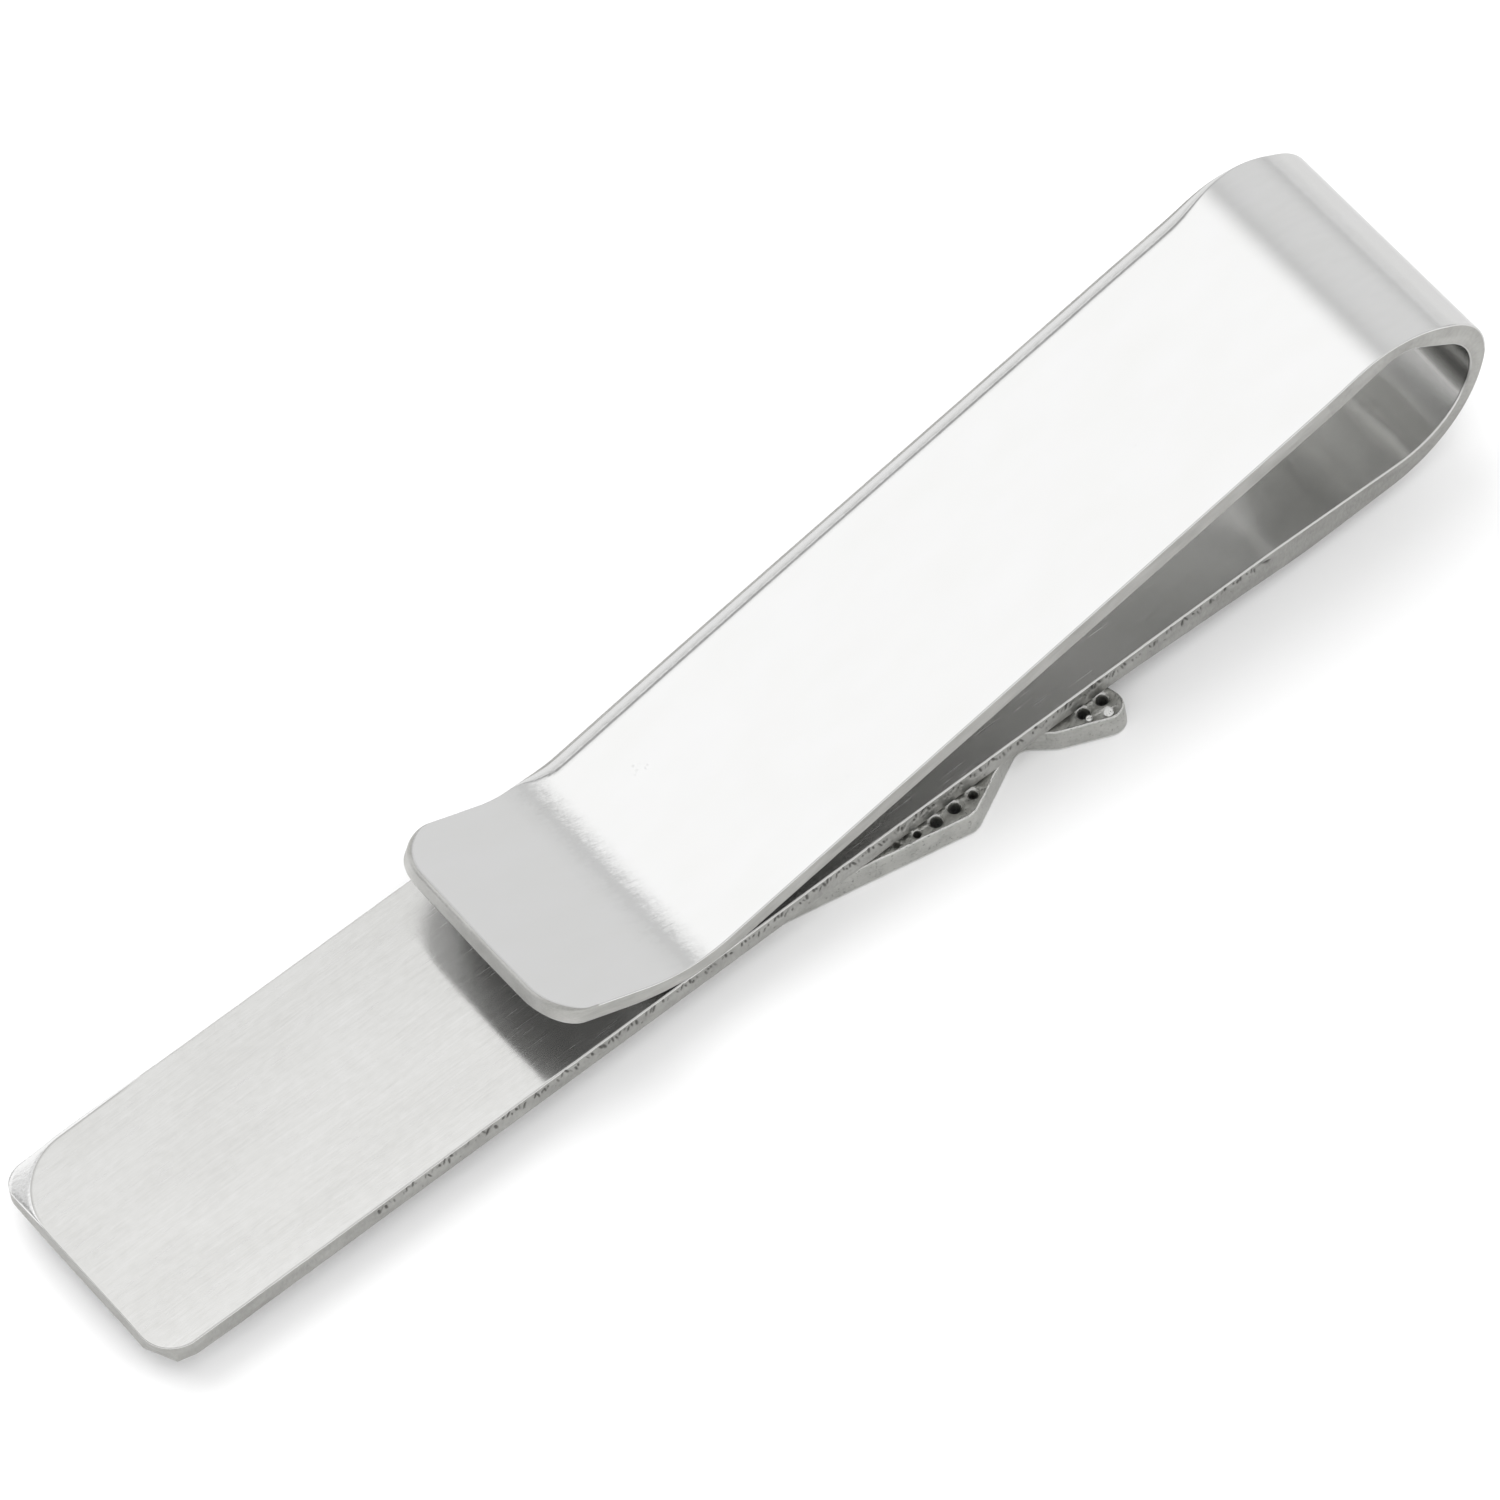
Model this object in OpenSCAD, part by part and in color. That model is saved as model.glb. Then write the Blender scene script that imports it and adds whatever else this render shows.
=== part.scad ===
// Spring-bend tie clip with an applied, crystal-set ornament.
// Units: mm. +X runs along the bar towards the bend, +Z is the tongue side,
// the ornament faces down (-Z). Origin: middle of the bounding box in X and Y,
// on the ornament's front rim in Z.

/* [Strip] */
// overall length, free end of the bar to the outside of the bend
bar_l = 57; // [50:0.5:70]
// width of the strip
bar_w = 9.4; // [8.8:0.1:12]
// thickness of the front bar
bar_t = 0.97; // [0.8:0.01:1.2]
// thickness of the spring tongue
tongue_t = 0.72; // [0.5:0.01:0.9]
// extra depth of the bar where it runs into the bend
heel_t = 0.55; // [0.1:0.05:0.8]
// radius of the two free corners of the bar, seen from above
bar_corner_r = 1.3; // [0.5:0.1:3]

/* [Spring] */
// slope of the tongue over the bar (degrees)
tongue_angle = 11.3; // [9:0.1:13]
// slope of the flared lip (degrees)
lip_angle = 28.5; // [15:0.5:40]
// straight length of the flared lip
lip_l = 3.55; // [2:0.05:6]
// distance from the bend's apex back to the fold of the lip
fold_back = 34.99; // [30:0.5:40]
// radius of the fold, on the gripping side
fold_r = 7.0; // [3:0.5:9]
// gap left between the gripping line and the bar
grip_gap = 0.05; // [0.03:0.01:0.3]
// radius of the lip's two corners, seen from above
lip_corner_r = 1.0; // [0.5:0.1:3]

/* [Ornament] */
// depth of the ornament in front of the bar
orn_t = 1.16; // [0.9:0.02:1.6]
// thickness of the solder film that holds it
film_t = 0.04; // [0.02:0.01:0.1]
// depth of the set field below the rim
field_d = 0.2; // [0.1:0.02:0.3]
// width of the polished rim
rim_w = 0.22; // [0.15:0.01:0.4]
// radius of one crystal
stone_r = 0.3; // [0.2:0.01:0.32]
// radius of the small crystals that fill the tight places
small_r = 0.17; // [0.12:0.01:0.2]
// pitch of the crystals along the bar
pitch_x = 0.8; // [0.8:0.05:1.2]
// pitch of the rows across the bar
pitch_y = 0.6; // [0.6:0.05:1]
// radius of the drilled hole behind each crystal
drill_r = 0.2; // [0.1:0.01:0.22]

/* [Hidden] */
$fn = 96;
hw = bar_w / 2;
eps = 0.01;
// heights: front rim, back of the ornament, front and back face of the bar
z_rim = 0;
z_plate = orn_t;
z_front = orn_t + film_t;
z_back = z_front + bar_t;
x_free = -bar_l / 2;
x_apex = bar_l / 2;

steel = [0.80, 0.80, 0.79];
mirror_steel = [0.93, 0.93, 0.93];
cast = [0.72, 0.72, 0.70];
film = [0.60, 0.60, 0.58];
ice = [0.90, 0.94, 0.97];

// ---- plane geometry --------------------------------------------------------
bite = 4;
swell = 1 / cos(bite); // how much larger than the tangent one each rounding disc is
function unit(v) = v / norm(v);
function cross2(a, b) = a[0] * b[1] - a[1] * b[0];
function meet(p, a, q, b) = // crossing of two lines given by point and angle
    let (u = [cos(a), sin(a)], v = [cos(b), sin(b)])
    p + u * (cross2(q - p, v) / cross2(u, v));
function half(V, i) = let (n = len(V), p = unit(V[(i + n - 1) % n] - V[i]), q = unit(V[(i + 1) % n] - V[i]))
    acos(max(-1, min(1, p * q))) / 2;
function t_in(V, R, i) = let (n = len(V)) V[i] + unit(V[(i + n - 1) % n] - V[i]) * R[i] / tan(half(V, i));
function t_out(V, R, i) = let (n = len(V)) V[i] + unit(V[(i + 1) % n] - V[i]) * R[i] / tan(half(V, i));
function bis(V, i) = let (n = len(V)) unit(unit(V[(i + n - 1) % n] - V[i]) + unit(V[(i + 1) % n] - V[i]));
function arc_c(V, R, i) = V[i] + bis(V, i) * R[i] / sin(half(V, i));
function convex(V, i) = let (n = len(V)) cross2(V[i] - V[(i + n - 1) % n], V[(i + 1) % n] - V[i]) > 0;

// rounding of corner i: the part of a disc that lies past the chord between its
// two tangent points. The disc is a hair larger than the tangent one, so it
// crosses the straight edges at a small angle (bite) and not at a grazing one.
module seg(V, R, i, inn) {
    n = len(V);
    e = unit(V[(i + n - 1) % n] - V[i]);
    f = unit(V[(i + 1) % n] - V[i]);
    a = t_in(V, R, i) + e * 2 * R[i] * tan(bite);
    b = t_out(V, R, i) + f * 2 * R[i] * tan(bite);
    c = arc_c(V, R, i);
    m = unit(V[i] - c);
    h = norm(V[i] - c) + R[i];
    intersection() {
        translate(c) circle(r = R[i] * swell);
        polygon([a - m * inn, a + m * h, b + m * h, b - m * inn]);
    }
}
// polygon (counter-clockwise) whose corners are rounded by true arcs
module rpoly(V, R, inn = 0.12) {
    n = len(V);
    difference() {
        union() {
            polygon([for (i = [0 : n - 1]) each (R[i] > 0 ? [t_in(V, R, i), t_out(V, R, i)] : [V[i]])]);
            for (i = [0 : n - 1]) if (R[i] > 0 && convex(V, i)) seg(V, R, i, inn);
        }
        for (i = [0 : n - 1]) if (R[i] > 0 && !convex(V, i)) seg(V, R, i, inn);
    }
}
// the same outline moved inwards by d
function inset(V, d) = [for (i = [0 : len(V) - 1])
    V[i] + bis(V, i) * (convex(V, i) ? 1 : -1) * d / sin(half(V, i))];
function inset_r(V, R, d) = [for (i = [0 : len(V) - 1])
    R[i] <= 0 ? 0 : convex(V, i) ? max(R[i] - d, 0.05) : R[i] + d];
function seg_dist(p, a, b) = let (u = max(0, min(1, (p - a) * (b - a) / ((b - a) * (b - a))))) norm(p - a - (b - a) * u);
function edge_dist(p, V) = let (n = len(V)) min([for (i = [0 : n - 1]) seg_dist(p, V[i], V[(i + 1) % n])]);
function crossings(p, V) = let (n = len(V)) len([for (i = [0 : n - 1])
    let (a = V[i], b = V[(i + 1) % n])
    if ((a[1] > p[1]) != (b[1] > p[1]) && p[0] < a[0] + (p[1] - a[1]) / (b[1] - a[1]) * (b[0] - a[0])) 1]);
function inside(p, V) = crossings(p, V) % 2 == 1;

// ---- the bent strip ----------------------------------------------------------
// side profile, [x from the apex, height above the bar's back face]
f_low = [-fold_back, grip_gap + fold_r * (swell - cos((lip_angle - tongue_angle) / 2) / cos((lip_angle + tongue_angle) / 2))];
fold_c = f_low + [sin((lip_angle - tongue_angle) / 2), cos((lip_angle - tongue_angle) / 2)] * fold_r / cos((lip_angle + tongue_angle) / 2);
f_top = fold_c + (f_low - fold_c) * (fold_r - tongue_t) / fold_r;
lip_dir = [-cos(lip_angle), sin(lip_angle)];
lip_run = lip_l + fold_r * tan((lip_angle + tongue_angle) / 2);
lip_low = f_low + lip_dir * lip_run;
lip_top = lip_low + [sin(lip_angle), cos(lip_angle)] * tongue_t;
// inside of the bend
i1 = [-3.35, f_low[1] + tan(tongue_angle) * (fold_back - 3.35)];
i2 = [-0.07, i1[1] - 2.85];
i3 = [-2.19, -0.36];
i4 = [-9.70, 0];
// outside of the bend
o1 = i1 + [0.28, tongue_t + 0.15];
o2 = [0.45, i1[1] - 2.29];
o3 = [-1.18, -bar_t - 0.29];
o4 = [-8.40, -bar_t - heel_t];
o5 = [-16.6, -bar_t];
ends = [-bar_l, 0];
PR = [ends, [-bar_l, -bar_t], o5, o4, o3, o2, o1, f_top, lip_top, lip_low, f_low, i1, i2, i3, i4];
RR = [0, 0, 0, 0, 4.69, 2.93, 3.2, fold_r - tongue_t, 0, 0, fold_r, 1.6, 2.3, 3.25, 0];
// the rounded outline is shifted so that its outermost point is at x = 0
apex_c = arc_c(PR, RR, 5);
apex_dx = -(apex_c[0] + RR[5] * swell);
z_apex = apex_c[1];

module strip_side() { rpoly([for (i = [0 : len(PR) - 1]) i < 2 ? PR[i] : PR[i] + [apex_dx, 0]], RR); }
module below_seam() {
    polygon([[-bar_l - 1, -4], [2, -4], [2, z_apex], [-5, z_apex], [-11, 1.2], [-31, grip_gap / 2], [-bar_l - 1, grip_gap / 2]]);
}
module along_y() { translate([x_apex, 0, z_back]) rotate([90, 0, 0]) linear_extrude(height = bar_w, center = true) children(); }
module plan(x0, x1, r) {
    translate([0, 0, z_front - 3]) linear_extrude(height = 14)
        rpoly([[x0, -hw], [x1, -hw], [x1, hw], [x0, hw]], [r, 0, 0, r]);
}

module bar() {
    color(steel) intersection() {
        along_y() intersection() { strip_side(); below_seam(); }
        plan(x_free, x_apex + 1, bar_corner_r);
    }
}
module tongue() {
    color(mirror_steel) intersection() {
        along_y() difference() { strip_side(); below_seam(); }
        plan(x_apex + apex_dx + lip_low[0], x_apex + 1, lip_corner_r);
    }
}

// ---- the ornament ------------------------------------------------------------
// half outline, [x from the free end, y], nose to tail; mirrored across the bar
OH = [[10.5, 0.42], [12.3, 1.06], [33.59, 5.54], [36.56, 3.97], [37.60, 4.87], [40.52, 6.19]];
OHR = [0.4, 0, 0.4, 0.6, 0.5, 0.6];
tail = [38.9, 0];
function mir(V) = [for (i = [len(V) - 1 : -1 : 0]) [V[i][0], -V[i][1]]];
function rev(R) = [for (i = [len(R) - 1 : -1 : 0]) R[i]];
// counter-clockwise: near side nose to tail, tail notch, far side tail to nose
OV = concat([for (p = OH) [p[0], -p[1]]], [tail], [for (p = rev(OH)) p]);
OR = concat(OHR, [1.2], rev(OHR));
// raised middle panel
MH = [[13.4, 0.24], [21.8, 1.72], [37.6, 1.72]];
MV = concat([for (p = MH) [p[0], -p[1]]], [[37.0, 0]], [for (p = rev(MH)) p]);
MR = [0.2, 0, 0.3, 0.6, 0.3, 0, 0.2];

field_v = inset(OV, rim_w);
field_r = inset_r(OV, OR, rim_w);
function row_y(k) = 2.45 + pitch_y * (k - 1);
function row_x(k, j) = 0.42 + (k % 2 == 1 ? 0 : pitch_x / 2) + pitch_x * j;
// a place on the grid takes a crystal of radius r if the wall around it stays sound
function room(p) = inside(p, OV) && !inside(p, MV) && edge_dist(p, MV) > stone_r + 0.06 ? edge_dist(p, OV) : 0;
function grid(k) = [for (j = [14 : 52]) [row_x(k, j), row_y(k)]];
function row(k) = [for (p = grid(k)) if (room(p) > stone_r + 0.12) p];
function small_row(k) = [for (p = grid(k)) if (room(p) > small_r + 0.09 && room(p) <= stone_r + 0.12) p];
function beads(k) = [for (j = [14 : 52]) let (p = [row_x(k, j) + pitch_x / 2, row_y(k) + pitch_y * 0.37])
    if (inside(p, OV) && edge_dist(p, OV) > rim_w + 0.1 && edge_dist(p, MV) > 0.12) p];
// pockets drilled from behind that are too near the wall to go through
BLIND = [[30.06, 4.62], [30.83, 4.72]];
GLINT = [[38.76, 5.36], [39.49, 5.42]];

module crystal(r) {
    // table down, pavilion up
    translate([0, 0, z_rim + 0.15 - 0.4 * r]) cylinder(r1 = r * 0.6, r2 = r, h = 0.4 * r, $fn = 8);
    translate([0, 0, z_rim + 0.15]) cylinder(r1 = r, r2 = r * 0.08, h = 0.8 * r, $fn = 8);
}
module crystals(k, s) {
    color(ice) translate([x_free, 0, 0]) for (p = row(k)) translate([p[0], s * p[1], 0]) crystal(stone_r);
}
module small_crystals(s) {
    color(ice) translate([x_free, 0, 0]) for (k = [1 : 5]) for (p = small_row(k))
        translate([p[0], s * p[1], 0]) crystal(small_r);
}
module seat(r, d) {
    // straight opening round the girdle, cone below it, drilled hole through
    translate([0, 0, -eps]) cylinder(r = r + 0.01, h = 0.16 + eps, $fn = 24);
    translate([0, 0, 0.149]) cylinder(r1 = r + 0.01, r2 = d, h = 0.43 * r, $fn = 24);
    cylinder(r = d, h = z_plate + 1, $fn = 24);
}
// low roof along the middle panel, with swept grooves like the vane of a feather
module roof() {
    difference() {
        intersection() {
            linear_extrude(height = field_d + 0.1) rpoly(MV, MR);
            translate([10, 0, 0]) rotate([90, 0, 90]) linear_extrude(height = 30)
                polygon([[-2.2, 0.5], [-2.2, 0.18], [-1.72, 0.14], [-0.22, 0], [0.22, 0], [1.72, 0.14], [2.2, 0.18], [2.2, 0.5]]);
        }
        for (s = [-1, 1]) for (i = [0 : 13])
            translate([16.2 + 1.45 * i, s * 0.34, 0]) rotate([0, 0, s * 28]) translate([0, -0.05, -0.2]) cube([4.2, 0.1, 0.37]);
    }
}
module ornament_plate() {
    color(cast) translate([x_free, 0, 0]) union() {
        difference() {
            linear_extrude(height = z_plate) rpoly(OV, OR);
            translate([0, 0, -1]) linear_extrude(height = 1 + field_d) rpoly(field_v, field_r);
            for (s = [-1, 1]) {
                for (k = [1 : 5]) {
                    for (p = row(k)) translate([p[0], s * p[1], 0]) seat(stone_r, drill_r);
                    for (p = small_row(k)) translate([p[0], s * p[1], 0]) seat(small_r, 0.15);
                }
                for (p = BLIND) translate([p[0], s * p[1], z_plate - 0.5]) cylinder(r = 0.15, h = 1, $fn = 24);
                for (p = GLINT) translate([p[0], s * p[1], z_plate - 0.12]) cylinder(r = 0.1, h = 1, $fn = 24);
            }
        }
        roof();
        for (s = [-1, 1]) for (k = [1 : 5]) for (p = beads(k))
            translate([p[0], s * p[1], 0.06]) cylinder(r1 = 0.05, r2 = 0.08, h = field_d, $fn = 16);
    }
}
module solder_film() {
    color(film) translate([x_free, 0, z_plate]) linear_extrude(height = film_t)
        rpoly([[13, -0.8], [32.6, -3.8], [39.2, -3.8], [38.2, 0], [39.2, 3.8], [32.6, 3.8], [13, 0.8]],
              [0.6, 1, 0.8, 1, 0.8, 1, 0.6]);
}

bar();
tongue();
solder_film();
ornament_plate();
crystals(1, -1);  // crystals_near_1
crystals(2, -1);  // crystals_near_2
crystals(3, -1);  // crystals_near_3
crystals(4, -1);  // crystals_near_4
crystals(5, -1);  // crystals_near_5
crystals(1, 1);  // crystals_far_1
crystals(2, 1);  // crystals_far_2
crystals(3, 1);  // crystals_far_3
crystals(4, 1);  // crystals_far_4
crystals(5, 1);  // crystals_far_5
small_crystals(-1);  // small_crystals_near
small_crystals(1);  // small_crystals_far
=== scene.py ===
import bpy
import bmesh
import math
import random
import numpy as np
from mathutils import Matrix, Vector
from mathutils.geometry import delaunay_2d_cdt


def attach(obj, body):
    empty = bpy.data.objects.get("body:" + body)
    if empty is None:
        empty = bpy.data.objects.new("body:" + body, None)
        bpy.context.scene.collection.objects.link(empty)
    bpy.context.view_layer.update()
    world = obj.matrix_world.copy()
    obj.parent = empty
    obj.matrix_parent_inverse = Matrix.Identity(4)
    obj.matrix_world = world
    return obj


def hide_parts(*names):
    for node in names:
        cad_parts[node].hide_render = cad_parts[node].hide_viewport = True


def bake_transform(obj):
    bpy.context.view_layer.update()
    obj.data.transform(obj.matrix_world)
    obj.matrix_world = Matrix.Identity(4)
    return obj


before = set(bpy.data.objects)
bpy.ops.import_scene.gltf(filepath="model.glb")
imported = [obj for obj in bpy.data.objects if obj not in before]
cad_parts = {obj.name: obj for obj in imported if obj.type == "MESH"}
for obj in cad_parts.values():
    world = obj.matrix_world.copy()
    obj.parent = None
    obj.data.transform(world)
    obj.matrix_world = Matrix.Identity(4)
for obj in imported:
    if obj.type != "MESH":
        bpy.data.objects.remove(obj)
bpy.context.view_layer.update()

MM = 0.001
XF = -28.5      # free end of the bar, in the row frame
XA = 28.5       # apex of the bend
ZB = 2.17       # back face of the bar
HW = 4.7        # half the strip's width
scene = bpy.context.scene
scene.view_settings.view_transform = "Standard"
scene.view_settings.look = "None"

# ------------------------------------------------------------------ camera
cam = bpy.data.cameras.new("camera")
cam.sensor_width = 36.0
cam.lens = 264.0
cam.clip_start = 0.01
cam.clip_end = 20.0
cam_ob = bpy.data.objects.new("camera", cam)
right = Vector((0.78487835, -0.60877973, -0.11555612))
down = Vector((-0.57098158, -0.63809989, -0.51653516))
ahead = Vector((0.24071979, 0.47139768, -0.8484328))
m = Matrix((right, -down, -ahead)).transposed().to_4x4()
m.translation = Vector((-0.0889445, -0.1744068, 0.3178974))
cam_ob.matrix_world = m
scene.collection.objects.link(cam_ob)
scene.camera = cam_ob

# ------------------------------------------------------------------ materials


def nt(mat):
    return mat.node_tree.nodes, mat.node_tree.links


class Mat:
    """small helper that builds a node material"""

    def __init__(self, name):
        self.m = bpy.data.materials.new(name)
        self.m.use_nodes = True
        self.n, self.l = nt(self.m)
        self.p = self.n["Principled BSDF"]

    def set(self, **kw):
        for k, v in kw.items():
            self.p.inputs[k.replace("_", " ")].default_value = v
        return self

    def node(self, kind, **kw):
        x = self.n.new(kind)
        for k, v in kw.items():
            setattr(x, k, v)
        return x

    def link(self, a, b):
        self.l.new(a, b)

    def attr(self, name):
        x = self.node("ShaderNodeAttribute", attribute_name=name)
        return x

    def scaled(self, vec, x, y, z, off=(0, 0, 0)):
        mp = self.node("ShaderNodeMapping")
        mp.inputs["Scale"].default_value = (x, y, z)
        mp.inputs["Location"].default_value = off
        self.link(vec, mp.inputs["Vector"])
        return mp.outputs["Vector"]

    def noise(self, vec, scale=1.0, detail=3.0, rough=0.5, dist=0.0):
        x = self.node("ShaderNodeTexNoise")
        x.inputs["Scale"].default_value = scale
        x.inputs["Detail"].default_value = detail
        x.inputs["Roughness"].default_value = rough
        x.inputs["Distortion"].default_value = dist
        self.link(vec, x.inputs["Vector"])
        return x.outputs["Fac"]

    def rng(self, v, a, b, c, d, smooth=False):
        x = self.node("ShaderNodeMapRange")
        x.interpolation_type = "SMOOTHSTEP" if smooth else "LINEAR"
        for i, val in enumerate((a, b, c, d)):
            x.inputs[i + 1].default_value = val
        self.link(v, x.inputs[0])
        return x.outputs[0]

    def math(self, op, a, b=None, c=None):
        x = self.node("ShaderNodeMath", operation=op)
        for i, v in enumerate((a, b, c)):
            if v is None:
                continue
            if isinstance(v, (int, float)):
                x.inputs[i].default_value = v
            else:
                self.link(v, x.inputs[i])
        return x.outputs[0]

    def ramp(self, v, stops):
        x = self.node("ShaderNodeValToRGB")
        e = x.color_ramp.elements
        while len(e) < len(stops):
            e.new(0.5)
        for el, (pos, col) in zip(e, stops):
            el.position = pos
            el.color = (*col, 1)
        self.link(v, x.inputs[0])
        return x.outputs["Color"]

    def mix(self, fac, a, b):
        x = self.node("ShaderNodeMix", data_type="RGBA")
        if isinstance(fac, (int, float)):
            x.inputs["Factor"].default_value = fac
        else:
            self.link(fac, x.inputs["Factor"])
        for s, v in ((6, a), (7, b)):
            if isinstance(v, tuple):
                x.inputs[s].default_value = (*v, 1)
            else:
                self.link(v, x.inputs[s])
        return x.outputs[2]

    def bump(self, height, strength, dist, normal=None):
        x = self.node("ShaderNodeBump")
        x.inputs["Strength"].default_value = strength
        x.inputs["Distance"].default_value = dist
        self.link(height, x.inputs["Height"])
        if normal is not None:
            self.link(normal, x.inputs["Normal"])
        return x.outputs["Normal"]

    def out(self, sock, name):
        self.link(sock, self.p.inputs[name])


def sepxyz(M, vec):
    x = M.node("ShaderNodeSeparateXYZ")
    M.link(vec, x.inputs[0])
    return x.outputs


def brushed_back():
    """back of the bar: brushed lengthwise, smoother where it enters the bend"""
    M = Mat("brushed_steel_back")
    M.set(Metallic=1.0, Anisotropic=0.97, Anisotropic_Rotation=0.25)
    v = M.attr("sheet").outputs["Vector"]
    s, y, _ = sepxyz(M, v)
    fine = M.noise(M.scaled(v, 0.8, 15, 15), 1, 3, 0.65)
    mid = M.noise(M.scaled(v, 0.28, 5, 5, (3, 1, 0)), 1, 3, 0.6)
    wide = M.noise(M.scaled(v, 0.22, 0.5, 0.5, (9, 4, 0)), 1, 2, 0.5)
    lone = M.noise(M.scaled(v, 0.55, 27, 27, (5, 7, 1)), 1, 1, 0.5)
    scratch = M.rng(lone, 0.61, 0.76, 0, 1, True)
    line = M.attr("painted_pit_and_line_shade").outputs["Fac"]
    grain = M.math("ADD", M.math("MULTIPLY", fine, 0.6), M.math("MULTIPLY", mid, 0.4))
    # the brushing fades out towards the bend
    fade = M.rng(s, 40, 47, 1, 0.12, True)
    g = M.math("MULTIPLY", M.math("SUBTRACT", grain, 0.5), fade)
    mottle = M.noise(M.scaled(v, 2.2, 3.0, 3.0, (4, 8, 3)), 1, 3, 0.6)
    tone = M.math("ADD", 0.5, M.math("ADD", M.math("MULTIPLY", g, 0.72), M.math("MULTIPLY", M.math("SUBTRACT", wide, 0.5), 0.30)))
    tone = M.math("ADD", tone, M.math("MULTIPLY", M.math("SUBTRACT", mottle, 0.5), 0.32))
    col = M.ramp(tone, [(0.25, (0.545, 0.542, 0.528)), (0.5, (0.612, 0.610, 0.598)), (0.75, (0.672, 0.671, 0.664))])
    col = M.mix(M.math("MULTIPLY", scratch, M.math("MULTIPLY", fade, 0.32)), col, (0.80, 0.80, 0.795))
    # a touch darker towards the far edge; painted light on the back from s 33 into the bend, and painted shade inside
    # the loop near the apex
    col = M.mix(M.rng(y, -4.7, 4.7, 0.0, 0.13), col, (0.30, 0.30, 0.295))
    col = M.mix(M.rng(s, 33, 40, 0.0, 0.22, True), col, (0.84, 0.84, 0.82))
    loop_shade = M.math("MULTIPLY", M.rng(s, 55.7, 56.9, 0.0, 0.85, True), M.rng(s, 56.9, 57.7, 1.0, 0.39, True))
    col = M.mix(loop_shade, col, (0.19, 0.19, 0.18))
    # painted shade: a dark line along the inner edge of the dressed far corner
    col = M.mix(M.math("MULTIPLY", line, 0.6), col, (0.24, 0.24, 0.23))
    M.out(col, "Base Color")
    r = M.math("ADD", M.rng(s, 40, 48, 0.185, 0.195, True), M.math("MULTIPLY", g, 0.10))
    r = M.math("ADD", r, M.math("MULTIPLY", scratch, M.math("MULTIPLY", fade, 0.10)))
    M.out(r, "Roughness")
    h = M.math("ADD", M.math("MULTIPLY", grain, fade), M.math("MULTIPLY", scratch, M.math("MULTIPLY", fade, 0.5)))
    wave = M.noise(M.scaled(v, 0.55, 0.55, 0.55), 1, 2, 0.5)
    n1 = M.bump(wave, 0.12, 0.00005)
    M.out(M.bump(h, 0.35, 0.000003, n1), "Normal")
    t = M.node("ShaderNodeTangent", direction_type="UV_MAP", uv_map="flow")
    M.out(t.outputs[0], "Tangent")
    return M.m


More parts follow.
